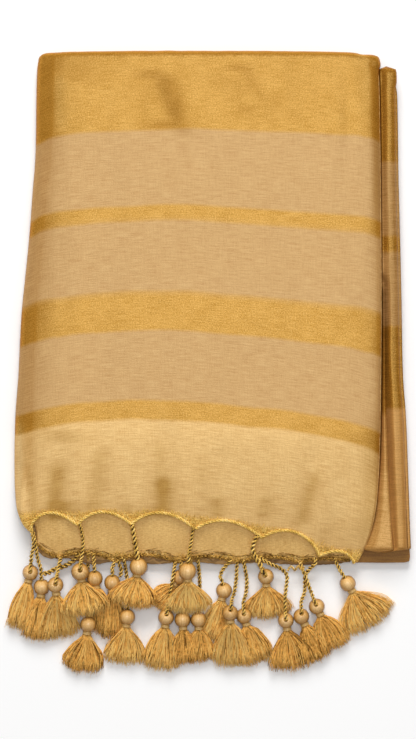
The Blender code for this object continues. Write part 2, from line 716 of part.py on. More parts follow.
def add_tube(name, points, radius, material, collection):
    """A tube along points, closed at its ends, as a mesh."""
    curve = bpy.data.curves.new(name, "CURVE")
    curve.dimensions = "3D"
    curve.bevel_depth = radius
    curve.bevel_resolution = 2
    curve.use_fill_caps = True
    spline = curve.splines.new("POLY")
    spline.points.add(len(points) - 1)
    for control, point in zip(spline.points, points):
        control.co = (*point, 1.0)
    tube = bpy.data.objects.new(name, curve)
    curve.materials.append(make_material(material))
    collection.objects.link(tube)
    return tube


def build_binding(name, edge, collection):
    """The bound edge of a hem, just outside the cloth."""
    points = []
    for k, point in enumerate(edge):
        side = (edge[min(k + 1, len(edge) - 1)] - edge[max(k - 1, 0)]).normalized()
        out = Vector((side.y, -side.x, 0)).normalized()
        points.append(point + out * (BINDING_RADIUS + SEAM_GAP))
    add_tube(name, points, BINDING_RADIUS, "metallic", collection)


def head_centre(head_column, head_row, height):
    """Middle of a tassel's head."""
    return Vector((column(head_column), row(head_row), height * MM))


def build_cords(collection):
    """Twisted cords from the scallops to the tassels' heads."""
    heads = {spec[0]: spec[1:] for spec in TASSELS}
    for name, tassel, radius, stops in CORDS:
        points = [Vector((column(c), row(r), z * MM)) for c, r, z in stops]
        if tassel:
            c, r, height, *_, first, last = heads[tassel]
            centre = head_centre(c, r, height)
            back = Vector((points[-1].x - centre.x, points[-1].y - centre.y, 0)).normalized()
            steps = max(1, round((last - first) / 20))
            for k in range(steps + 1):
                tilt = math.radians(first + (last - first) * k / steps)
                away = HEAD_RADIUS + radius + HEAD_GAP
                if first == last:
                    away = HEAD_RADIUS + (HEAD_GAP if k else 4.5 * MM)
                out = back * math.cos(tilt) + Vector((0, 0, math.sin(tilt)))
                points.append(centre + out * away)
        add_tube("cord_" + name, smooth_route(points, CORD_STEP), radius, "metallic", collection)


def lock_cells():
    """The nine faces of a skirt's root: corners of each, and its place (-1, 0, 1)
    across and up."""
    a = ROOT_RADIUS * math.cos(math.radians(22.5))
    b = ROOT_RADIUS * math.sin(math.radians(22.5))
    cells = []
    for up in (-1, 0, 1):
        for across in (-1, 0, 1):
            if up and across:
                corners = [(a * across, b * up), (b * across, a * up), (b * across, b * up)]
            elif up:
                corners = [(-b, a * up), (b, a * up), (b, b * up), (-b, b * up)]
            elif across:
                corners = [(a * across, -b), (a * across, b), (b * across, b), (b * across, -b)]
            else:
                corners = [(-b, -b), (b, -b), (b, b), (-b, b)]
            cells.append((corners, across, up))
    return cells


def build_tassel(spec, collection):
    """A wrapped head, its neck, and nine locks that spread from the neck."""
    name, c, r, height, end_c, end_r, end_width, end_low, *_ = spec
    centre = head_centre(c, r, height)
    end = head_centre(end_c, end_r, end_low)
    length = math.hypot(end.x - centre.x, end.y - centre.y)
    root_at = HEAD_RADIUS + NECK_LENGTH
    root_z = -ROOT_DROP
    profile = []
    for angle in HEAD_ANGLES:
        a = math.radians(angle)
        profile.append((-HEAD_RADIUS * math.cos(a), HEAD_RADIUS * math.sin(a), 0.0))
    profile.append((root_at - 2.0 * MM, NECK_RADIUS, root_z / 2))
    profile.append((root_at, ROOT_RADIUS, root_z))
    bm = bmesh.new()
    rings = []
    for along, radius, z in profile:
        ring = []
        for k in range(8):
            a = math.radians(22.5 + 45 * k)
            ring.append(bm.verts.new((radius * math.cos(a), along, z + radius * math.sin(a))))
        rings.append(ring)
    pole = bm.verts.new((0, -HEAD_RADIUS, 0))
    for k in range(8):
        n = (k + 1) % 8
        bm.faces.new((pole, rings[0][k], rings[0][n]))
        for first, second in zip(rings, rings[1:]):
            bm.faces.new((first[k], second[k], second[n], first[n]))
    found = {}
    for vert in rings[-1]:
        found[(round(vert.co.x, 6), round(vert.co.z - root_z, 6))] = vert
    roots = []
    for corners, across, up in lock_cells():
        verts = []
        for x, z in corners:
            key = (round(x, 6), round(z, 6))
            if key not in found:
                found[key] = bm.verts.new((x, root_at, root_z + z))
            verts.append(found[key])
        roots.append((bm.faces.new(verts), across, up))
    end_z = end.z - centre.z + LOCK_THICKNESS / 2
    lock_width = end_width * GRID / LOCKS_ACROSS_END
    for face, across, up in roots:
        middle = face.calc_center_median()
        half_x = max(abs(v.co.x - middle.x) for v in face.verts)
        half_z = max(abs(v.co.z - middle.z) for v in face.verts)
        shift, spread = LOCK_LAYERS[up + 1]
        reach = LOCK_REACHES[(across + up) % 3]
        goal_x = (across + shift) * end_width * GRID * spread
        goal_z = end_z + (up + 1) * LOCK_PITCH
        shape = [(v.co.x - middle.x, v.co.z - middle.z) for v in face.verts]
        for t in LOCK_STEPS:
            widen = half_x * (1 - t) * 0.8 + lock_width / 2 * t
            deepen = half_z * (1 - t) * 0.8 + LOCK_THICKNESS / 2 * t
            x = middle.x + (goal_x - middle.x) * t**1.15
            z = middle.z + (goal_z - middle.z) * smooth_step(t**0.8)
            y = root_at + (length * reach - root_at) * t
            face = bmesh.ops.extrude_discrete_faces(bm, faces=[face])["faces"][0]
            for vert, (dx, dz) in zip(face.verts, shape):
                vert.co = (x + dx / half_x * widen, y, z + dz / half_z * deepen)
    bmesh.ops.recalc_face_normals(bm, faces=bm.faces)
    heading = math.atan2(end.y - centre.y, end.x - centre.x) - math.pi / 2
    bm.transform(Matrix.Translation(centre) @ Matrix.Rotation(heading, 4, "Z"))
    mesh = bpy.data.meshes.new("tassel_" + name)
    bm.to_mesh(mesh)
    bm.free()
    add_piece("tassel_" + name, mesh, "cotton", collection)


def main():
    for old in list(bpy.data.objects):
        bpy.data.objects.remove(old, do_unlink=True)
    collection = bpy.data.collections.new("folded_saree")
    bpy.context.scene.collection.children.link(collection)
    build_base(collection)
    build_core(collection)
    edge_top = build_edge_fold(collection)
    build_roll(edge_top, collection)
    build_inner_fold(collection)
    hem = build_top_panel(collection)
    rolled = len(ROLL_ANGLES) + 1
    build_binding("front_binding", hem[rolled:-rolled], collection)
    under_hem = build_under_layer(collection)
    build_binding("under_binding", under_hem, collection)
    build_cords(collection)
    for spec in TASSELS:
        build_tassel(spec, collection)


main()
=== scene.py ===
"""The look of a folded tissue-silk saree with a scalloped and tasselled end."""
import math
import random

import bmesh
import bpy
from mathutils import Matrix, Vector, noise


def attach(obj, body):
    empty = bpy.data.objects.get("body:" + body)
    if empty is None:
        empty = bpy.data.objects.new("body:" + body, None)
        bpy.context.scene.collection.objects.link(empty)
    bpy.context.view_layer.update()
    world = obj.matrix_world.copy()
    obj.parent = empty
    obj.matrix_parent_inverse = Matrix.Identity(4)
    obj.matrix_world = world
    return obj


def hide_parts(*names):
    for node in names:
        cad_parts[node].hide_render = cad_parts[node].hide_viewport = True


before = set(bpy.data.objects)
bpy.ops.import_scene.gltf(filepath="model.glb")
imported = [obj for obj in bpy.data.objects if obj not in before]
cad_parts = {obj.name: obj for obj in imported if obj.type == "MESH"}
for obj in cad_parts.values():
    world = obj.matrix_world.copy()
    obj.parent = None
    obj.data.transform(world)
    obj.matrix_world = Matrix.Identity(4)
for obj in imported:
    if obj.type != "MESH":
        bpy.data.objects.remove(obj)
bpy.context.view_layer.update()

# Camera
# The saree lies on a white surface and is seen from straight above, through a
# long lens. Places below are columns and rows of that view.
MM = 0.001
GRID = 0.280 / 366             # metres to a column or row, on the cloth
MIDDLE_COLUMN = 207.75         # the part's middle in the view
MIDDLE_ROW = 360.8
VIEW_CENTRE = (208.0, 369.5)   # column and row in the middle of the view
VIEW_ROWS = 739.0
CAMERA_DISTANCE = 2.6
SHARP_HEIGHT = 12.0 * MM       # the height at which the view has the scale of GRID
SENSOR = 36.0


def column(value):
    """World x of a column of the view."""
    return (value - MIDDLE_COLUMN) * GRID


def row(value):
    """World y of a row of the view."""
    return (MIDDLE_ROW - value) * GRID


camera_data = bpy.data.cameras.new("copy_stand_camera")
camera_data.sensor_fit = "VERTICAL"
camera_data.sensor_height = SENSOR
camera_data.lens = SENSOR * CAMERA_DISTANCE / (VIEW_ROWS * GRID)
camera_data.clip_end = 20.0
camera = bpy.data.objects.new("copy_stand_camera", camera_data)
camera.location = (column(VIEW_CENTRE[0]), row(VIEW_CENTRE[1]), SHARP_HEIGHT + CAMERA_DISTANCE)
bpy.context.scene.collection.objects.link(camera)
bpy.context.scene.camera = camera
bpy.context.scene.view_settings.view_transform = "Standard"

# Surface and light
# A white table top, a large soft light behind it, a smaller one overhead and a
# white ceiling, as in a product studio.
SURFACE_HALF = 4.0
SURFACE_COLOUR = "#ffffff"
LIGHTS = (                     # name, place, side, power, and if it shows in shiny cloth
    ("back_light", (-0.10, 3.40, 2.10), 2.0, 150.0, False),
    ("overhead_light", (0.05, 0.30, 3.60), 0.9, 23.0, True),
)
CEILING_LIGHT = 0.42           # added to the walls' towards straight up
WALL_LIGHT = 0.20


def linear(colour):
    """Linear red, green, blue and alpha of a #rrggbb colour."""
    parts = [int(colour[k:k + 2], 16) / 255 for k in (1, 3, 5)]
    return (*[p / 12.92 if p <= 0.04045 else ((p + 0.055) / 1.055) ** 2.4 for p in parts], 1.0)


def new_material(name):
    """A material with its shader."""
    material = bpy.data.materials.new(name)
    material.use_nodes = True
    return material, material.node_tree.nodes["Principled BSDF"]


def set_node(node, values):
    """Set a node's attributes and its inputs, which go by name or number. An input
    takes a number, a #rrggbb colour or the output that feeds it."""
    for name, value in values.items():
        if isinstance(value, bpy.types.NodeSocket):
            node.id_data.links.new(value, node.inputs[name])
        elif isinstance(name, str) and name not in node.inputs:
            setattr(node, name, value)
        else:
            node.inputs[name].default_value = linear(value) if isinstance(value, str) else value


def add_node(material, kind, values=None, stops=()):
    """Add a node to a material and return its outputs. stops are the places and
    the colours, or shares of white, along a colour ramp."""
    node = material.node_tree.nodes.new("ShaderNode" + kind)
    set_node(node, values or {})
    for k, (position, colour) in enumerate(stops):
        ramp = node.color_ramp.elements
        stop = ramp[k] if k < 2 else ramp.new(position)
        stop.position = position
        stop.color = linear(colour) if isinstance(colour, str) else (colour, colour, colour, 1.0)
    return node.outputs


table_top_mesh = bpy.data.meshes.new("table_top")
bm = bmesh.new()
bmesh.ops.create_grid(bm, x_segments=1, y_segments=1, size=SURFACE_HALF)
bm.to_mesh(table_top_mesh)
bm.free()
table_top = bpy.data.objects.new("table_top", table_top_mesh)
bpy.context.scene.collection.objects.link(table_top)
# Matt white paint: even, with hardly any gloss
table_top_paint, shader = new_material("white_table_top")
set_node(shader, {"Base Color": SURFACE_COLOUR, "Roughness": 0.8, "Specular IOR Level": 0.1})
table_top_mesh.materials.append(table_top_paint)

for name, place, side, power, shows in LIGHTS:
    light_data = bpy.data.lights.new(name, "AREA")
    light_data.shape = "SQUARE"
    light_data.size = side
    light_data.energy = power
    light = bpy.data.objects.new(name, light_data)
    light.location = place
    light.visible_glossy = shows
    light.rotation_euler = (-Vector(place)).to_track_quat("-Z", "Y").to_euler()
    bpy.context.scene.collection.objects.link(light)
room = bpy.data.worlds.new("white_room")
room.use_nodes = True
way_out = add_node(room, "TexCoord")["Generated"]
upward = add_node(room, "SeparateXYZ", {"Vector": way_out})["Z"]
square = add_node(
    room, "Math", {"operation": "MULTIPLY", "use_clamp": True, 0: upward, 1: upward})[0]
strength = add_node(
    room, "Math", {"operation": "MULTIPLY_ADD", 0: square, 1: CEILING_LIGHT, 2: WALL_LIGHT})[0]
set_node(room.node_tree.nodes["Background"], {"Color": "#fefdfc", "Strength": strength})
bpy.context.scene.world = room

# Lowest layers of the pack
# The plain body of the saree, folded flat. Its many thin layers show as fine
# edges all round, and as a straight brown strip at the lower right.
BASE_HEIGHT = 5.0 * MM
BASE_FOLDS = 7                 # folded edges that can be told apart over its height
BASE_GROOVE = 0.35 * MM
# Outline: column and row, anticlockwise from the back left
BASE_OUTLINE = (
    (50, 55.6), (44, 62), (38.9, 100), (37.9, 148), (35.4, 200), (31.7, 255), (26.8, 310),
    (22.8, 362), (19.3, 405), (18.2, 432), (18.1, 457), (18.6, 482), (25, 508), (39, 532),
    (48, 545), (60, 551), (200, 552), (330, 552.5), (349, 555), (357, 563), (385, 563.2),
    (408.5, 563), (410.8, 561), (410.2, 545), (407.2, 480), (403.5, 415), (399, 300),
    (396.5, 175), (395, 85), (391, 76), (377, 72), (372, 55.6),
)
BASE_STEP = 4.0 * MM
# Section of one fold: share of its height, and of the groove's depth
FOLD_PROFILE = ((0.25, 0.1), (0.75, 0.1), (1.0, 1.0))
FOLD_WAVE = 0.25 * MM
BODY_BROWN = "#a57530"
BODY_SHADE = "#84561e"


def even_points(points, step=None, count=None):
    """Evenly spaced points along straight runs between the given ones, about step
    apart or count + 1 in all."""
    lengths = [0.0]
    for a, b in zip(points, points[1:]):
        lengths.append(lengths[-1] + (b - a).length)
    count = count or max(2, round(lengths[-1] / step))
    found = []
    i = 0
    for k in range(count + 1):
        goal = lengths[-1] * k / count
        while i < len(points) - 2 and lengths[i + 1] < goal:
            i += 1
        part = (goal - lengths[i]) / max(lengths[i + 1] - lengths[i], 1e-9)
        found.append(points[i].lerp(points[i + 1], min(part, 1.0)))
    return found


def finish_mesh(bm, name, material):
    """Turn a bmesh into a piece of the saree with its material."""
    mesh = bpy.data.meshes.new(name)
    bm.to_mesh(mesh)
    bm.free()
    mesh.materials.append(material)
    mesh.shade_smooth()
    piece = bpy.data.objects.new(name, mesh)
    bpy.context.scene.collection.objects.link(piece)
    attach(piece, "root")
    return piece


# Plain-woven silk: nearly matt, with slubs of about 1 mm by 14 mm. Its yarns are too
# fine to show, so its grain is drawn as coarse as 0.7 mm
body_cloth, shader = new_material("body_cloth_brown")
place = add_node(body_cloth, "TexCoord")["Object"]
stretched = add_node(body_cloth, "Mapping", {"Scale": (70, 900, 900), "Vector": place})[0]
slubs = add_node(body_cloth, "TexNoise", {"Scale": 1.0, "Detail": 3.0, "Vector": stretched})[0]
fine = add_node(body_cloth, "TexNoise", {"Scale": 1500.0, "Detail": 2.0, "Vector": place})[0]
mixed = add_node(body_cloth, "Math", {"operation": "MULTIPLY", 0: slubs, 1: fine})[0]
tone = add_node(
    body_cloth, "ValToRGB", {"Fac": mixed}, [(0.12, BODY_SHADE), (0.40, BODY_BROWN)])[0]
bump = add_node(body_cloth, "Bump", {"Strength": 0.5, "Distance": 0.3 * MM, "Height": mixed})[0]
set_node(shader, {"Base Color": tone, "Normal": bump, "Roughness": 0.62, "Sheen Weight": 0.25})

corners = [Vector((column(c), row(r), 0)) for c, r in BASE_OUTLINE]
outline = even_points([*corners, corners[0]], BASE_STEP)[:-1]
inward = []
for k, point in enumerate(outline):
    side = (outline[(k + 1) % len(outline)] - outline[k - 1]).normalized()
    inward.append(Vector((-side.y, side.x, 0)))
bm = bmesh.new()
bmesh.ops.create_circle(bm, cap_ends=True, segments=len(outline), radius=1.0)
base_face = bm.faces[:][0]
loop = [corner.vert for corner in base_face.loops]
layer_height = BASE_HEIGHT / BASE_FOLDS
for vert, point, inside in zip(loop, outline, inward):
    vert.co = point + inside * BASE_GROOVE
for layer in range(BASE_FOLDS):
    for height, depth in FOLD_PROFILE:
        grown = bmesh.ops.extrude_face_region(bm, geom=[base_face])
        if layer or height > FOLD_PROFILE[0][0]:
            bmesh.ops.delete(bm, geom=[base_face], context="FACES_ONLY")
        base_face = next(item for item in grown["geom"] if isinstance(item, bmesh.types.BMFace))
        z = (layer + height) * layer_height
        loop = [corner.vert for corner in base_face.loops]
        for vert, point, inside in zip(loop, outline, inward):
            wave = FOLD_WAVE * noise.noise(Vector((point.x * 40, point.y * 40, layer * 3.7)))
            vert.co = point + inside * (BASE_GROOVE * depth + wave) + Vector((0, 0, z))
bmesh.ops.recalc_face_normals(bm, faces=bm.faces)
base_layers = finish_mesh(bm, "lowest_folded_layers", body_cloth)
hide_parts("base_layers")

# Shape of the pack
# The cloth lies over a stack of its own folds, 23 mm high, which thins towards
# the tasselled end. Its sides and back are round folds.
PACK_HEIGHT = 23.0 * MM
HEM_HEIGHT = 9.2 * MM
SLOPE_ROW = 430.0
END_ROW = 560.0
SLOPE_CURVE = 1.6
SLOPE_LIMIT = 1.05              # share of the slope at which it levels out
SIDE_DROP = 2.0 * MM
BACK_DROP = 1.0 * MM
BACK_DROP_ROWS = (110.0, 50.0)
TOP_ROLL = 5.5 * MM
ROLL_DEPTH = 10.5 * MM
TIGHT_ROLL = 2.1 * MM
TAPER_ROW = 465.0
TAPER_ROWS = 62.0
TAPER_SHARE = 0.72
SHOULDER_SHARE = 0.75           # of the shoulders is gone at the hem
# Small unevenness: height in mm, columns and rows that it takes, and a place in
# the noise
UNEVEN = ((0.40, 60, 85, 3.1), (0.16, 13, 60, 8.4), (0.07, 7, 9, 5.7))
# Edges of the pack: row, column
LEFT_EDGE = (
    (52, 39.5), (65, 37), (95, 36), (155, 35), (195, 32), (235, 29), (275, 25),
    (315, 21), (375, 18), (415, 15), (475, 14), (505, 16), (515, 18.5), (525, 23),
    (531, 28), (540, 34), (552, 41),
)
RIGHT_EDGE = (
    (52, 378.6), (58, 380.4), (62, 380.6), (67, 379.2), (78, 379.6), (120, 380.5),
    (300, 382), (420, 381), (470, 379.5),
    (505, 376.5), (525, 373), (545, 367), (563, 358),
)
# The two sides, by the sign of x: edge, width of the roll over it and the angle in
# radians at which that starts, height of the lower rim, and how far the rim is
# below the top at the hem. The stack is softest at its sides: drop is how much
# further down the top is where a side starts to roll, and reach how far that goes in
SIDES = {
    -1: {"edge": LEFT_EDGE, "roll": 8.0 * MM, "turn": 0.32, "rim": 0.8 * MM, "skirt": 4.6 * MM,
         "drop": 4.2 * MM, "reach": 13.0 * MM},
    1: {"edge": RIGHT_EDGE, "roll": 3.5 * MM, "turn": 0.14, "rim": 10.0 * MM, "skirt": 3.2 * MM,
        "drop": 1.3 * MM, "reach": 6.0 * MM},
}
# Creases: column and row of both ends, half widths to the left and right in
# columns, and depth in mm
CREASE_FADE = 0.5
CREASES = (
    (47, 62, 44, 150, 8, 4, 0.9),
    (152, 84, 163, 118, 24, 16, 2.2),
    (238, 76, 254, 104, 22, 16, 1.5),
    (262, 116, 266, 130, 12, 10, 0.6),
    (346, 84, 348, 140, 8, 7, 0.5),
    (372, 62, 378, 69, 3, 2.2, 1.0),
    (376, 84, 377, 190, 4, 3, 0.5),
    (110, 80, 104, 200, 26, 20, 0.5),
    (300, 60, 312, 140, 20, 24, 0.5),
    (200, 150, 196, 260, 26, 22, 0.6),
    (300, 230, 310, 360, 30, 18, 0.6),
    (96, 260, 104, 400, 22, 26, 0.6),
    (60, 450, 56, 510, 14, 12, 0.7),
    (165, 440, 163, 505, 14, 13, 0.9),
    (222, 460, 217, 512, 12, 12, 0.5),
    (314, 460, 301, 520, 12, 10, 0.7),
    (101, 440, 98, 492, 11, 11, 0.5),
    (268, 460, 266, 515, 12, 12, 0.4),
    (28, 250, 24, 420, 7, 7, 0.5),
)
# Painted crease shading: painted shade where the silk of a soft crease lies away
# from the light, or, below 0, painted light where it leans into it. Places and half
# widths as for the creases, and the share of the full painted shade
PAINTED_CREASE_SHADING = (
    (84, 60, 80, 78, 22, 26, 0.30),
    (173, 86, 182, 124, 15, 9, 0.62),
    (153, 84, 158, 104, 14, 14, 0.14),
    (246, 72, 248, 92, 12, 12, 0.22),
    (277, 98, 280, 116, 12, 12, 0.18),
    (60, 84, 62, 118, 6, 8, -0.50),
    (362, 58, 362, 96, 7, 6, -0.60),
    (376, 86, 377, 195, 5, 4, 0.70),
    (60, 432, 64, 440, 22, 26, 0.42),
    (58, 474, 54, 512, 10, 9, 0.80),
    (64, 504, 66, 516, 14, 14, 0.75),
    (94, 504, 95, 516, 12, 12, 0.45),
    (100, 458, 96, 494, 9, 9, 0.42),
    (163, 484, 163, 508, 9, 10, 0.95),
    (160, 452, 162, 484, 7, 8, 0.30),
    (217, 500, 217, 514, 8, 8, 0.55),
    (203, 462, 201, 480, 5, 6, 0.18),
    (266, 500, 264, 514, 8, 8, 0.40),
    (313, 482, 303, 516, 7, 7, 0.60),
    (127, 506, 128, 516, 7, 7, 0.45),
    (376, 440, 373, 520, 13, 8, 0.50),
    (152, 508, 160, 516, 12, 12, 0.30),
    (31, 480, 36, 516, 5, 6, 0.50),
    (19, 440, 19, 500, 4, 5, -1.00),
    (135, 462, 136, 490, 10, 10, -0.30),
    (232, 478, 234, 494, 9, 9, -0.40),
    (286, 470, 284, 492, 9, 9, -0.30),
    (336, 488, 338, 512, 9, 9, -0.30),
)


def clip(value):
    """The value, kept from 0 to 1."""
    return min(max(value, 0.0), 1.0)


def between(ends, share):
    """A share of the way from the first of two values to the second."""
    return ends[0] + (ends[1] - ends[0]) * share


def smooth_step(value):
    """0 to 1 with a soft start and end."""
    t = clip(value)
    return t * t * (3.0 - 2.0 * t)


def read_table(table, at):
    """Value of a (position, value) table at a position, on a smooth curve."""
    if at <= table[0][0]:
        return table[0][1]
    if at >= table[-1][0]:
        return table[-1][1]
    i = 0
    while table[i + 1][0] < at:
        i += 1
    (x0, y0), (x1, y1) = table[i][:2], table[i + 1][:2]
    before = table[max(i - 1, 0)]
    after = table[min(i + 2, len(table) - 1)]
    slope0 = (y1 - before[1]) / (x1 - before[0])
    slope1 = (after[1] - y0) / (after[0] - x0)
    span = x1 - x0
    t = (at - x0) / span
    return (
        (2 * t**3 - 3 * t**2 + 1) * y0 + (t**3 - 2 * t**2 + t) * span * slope0
        + (3 * t**2 - 2 * t**3) * y1 + (t**3 - t**2) * span * slope1
    )


def soft_lines(table, col, line, stop):
    """Sum of a table's creases or hollows at a place. Past its ends one runs
    straight on down the rows if stop is true, or else along its slant."""
    total = 0.0
    for c0, r0, c1, r1, left_width, right_width, strength in table:
        along = (line - r0) / (r1 - r0)
        ends = smooth_step(along / CREASE_FADE + 1) * smooth_step((1 - along) / CREASE_FADE + 1)
        away = col - between((c0, c1), clip(along) if stop else along)
        away /= left_width if away < 0 else right_width
        total += strength * ends * math.exp(-away * away)
    return total


def hem_taper(line):
    """0 to 1 as the sides of the pack change towards the hem."""
    return smooth_step((line - TAPER_ROW) / TAPER_ROWS)


def cloth_height(col, line):
    """Height of the cloth on top, with its creases and small unevenness."""
    t = min(max((line - SLOPE_ROW) / (END_ROW - SLOPE_ROW), 0.0), SLOPE_LIMIT)
    height = PACK_HEIGHT - (PACK_HEIGHT - HEM_HEIGHT) * t**SLOPE_CURVE
    left = read_table(LEFT_EDGE, line)
    right = read_table(RIGHT_EDGE, line)
    across = 2 * (col - left) / (right - left) - 1
    height -= SIDE_DROP * abs(across) ** 4 * (1 - hem_taper(line))
    start, end = BACK_DROP_ROWS
    height -= BACK_DROP * smooth_step((start - line) / (start - end))
    firm = 1 - SHOULDER_SHARE * hem_taper(line)
    for side, inside in ((SIDES[-1], col - left), (SIDES[1], right - col)):
        fade = math.exp(min(side["roll"] - inside * GRID, 0.0) / side["reach"])
        height -= side["drop"] * firm * fade
    for rise, wide, long, place in UNEVEN:
        height += rise * MM * noise.noise(Vector((col / wide, line / long, place)))
    return height - soft_lines(CREASES, col, line, True) * MM


def roll_size(size, line):
    """Width or depth of a side fold: it gets tighter towards the hem."""
    return max(size * (1.0 - TAPER_SHARE * hem_taper(line)), TIGHT_ROLL)


def side_limit(line, sign):
    """Column where the top starts to roll down on a side."""
    side = SIDES[sign]
    return read_table(side["edge"], line) - sign * roll_size(side["roll"], line) / GRID


def side_rim(line, sign):
    """Height of the lower rim of a side."""
    hem = cloth_height(side_limit(line, sign), line) - SIDES[sign]["skirt"]
    return between((SIDES[sign]["rim"], hem), hem_taper(line))


# Woven bands
# The pallu is tissue silk: gold metallic yarn in the bands, beige silk between
# them. The weft sags a little at both sides, so the bands dip there.
GOLD = "#e2b161"
GOLD_SHADE = "#b98838"
GOLD_PAINTED_GLINT = "#f3d28a"
GOLD_SLOPE_PAINTED_SHADE = "#ecd9a8"          # painted shade: what a slope leaves of its colour
BEIGE = "#dab47d"
BEIGE_SHADE = "#c29763"
PALE = "#f7d190"
PALE_SHADE = "#d9ac6c"
# painted shade: what a slope leaves of the silk's colour
SILK_SLOPE_PAINTED_SHADE = "#eee3d2"
HOLLOW = "#d2c5a2"              # painted shade: what the deepest crease hollow leaves of the colour
BAND_BLUR = 0.35                # rows over which one band gives way to the next
# How far the weft sags, in rows, at some columns, for five rows of the middle
DIP_ROWS = (131, 204, 292, 328, 416)
DIPS = (
    (18, (17, 17, 19, 18, 15)), (26, (16, 17, 16, 15, 13)), (32, (15, 17, 13, 13, 11)),
    (40, (13, 12, 10, 11, 9)), (50, (8, 9, 8, 8, 7)), (60, (6, 7, 7, 7, 5)),
    (80, (3, 5, 4, 4, 2)), (100, (2, 3, 2, 3, 1)), (130, (1, 2, 0, 1, -1)),
    (160, (0, 0, 0, 0, 0)), (190, (-1.5, 0, 0, 1, 1)), (220, (0, 2, 3, 4, 3)),
    (250, (1, 4, 5, 6, 7)), (280, (2, 6, 8, 9, 9)), (310, (3, 8, 11, 13, 14)),
    (340, (5, 10, 14, 16, 20)), (355, (5, 11, 15, 19, 24)), (365, (7, 12, 17, 22, 27)),
    (372, (8, 14, 19, 23, 30)), (382, (13, 18, 23, 27, 36)),
)
DIP_COLUMNS = [
    [(col, dips[k]) for col, dips in DIPS] for k in range(len(DIP_ROWS))
]
# Bands from the top: the row where each starts, and its cloth
PALLU_BANDS = (
    (0, "gold"), (131.6, "beige"), (204.6, "gold"), (219, "beige"), (292.8, "gold"),
    (329.5, "beige"), (401.6, "gold"), (418.6, "pale"),
)
CLOTHS = {
    "gold": (GOLD, GOLD_SHADE, 1.0),
    "beige": (BEIGE, BEIGE_SHADE, 0.0),
    "pale": (PALE, PALE_SHADE, 0.0),
    "under": ("#fbd48c", "#dbac66", 0.0),
    "brown": ("#d9a765", "#b98a50", 0.15),
}
CLOTH_ROWS = 1000.0             # rows that the bands' colour ramps stand for
STITCH_LEAN = 0.62              # radians
# Yarns to a metre: real ones are about 0.15 mm apart, too fine to show, and these are
# five or six times as coarse. Thick places and glints are also numbers to a metre
WEFT_YARNS = 1350
WARP_YARNS = 1050
WARP_SLUBS = 90
SPARKS = (950, 1300, 1)         # across and down
WEAVE_GAPS = (0.68, 1.22)       # noise at which the cloth is all in shade or all lit


def weft_row(col, at_row):
    """Row that a place would have if the weft were straight."""
    dips = [read_table(table, col) for table in DIP_COLUMNS]
    levels = list(zip(DIP_ROWS, dips))
    straight = at_row
    for _ in range(3):
        straight = at_row - read_table(levels, straight)
    return straight


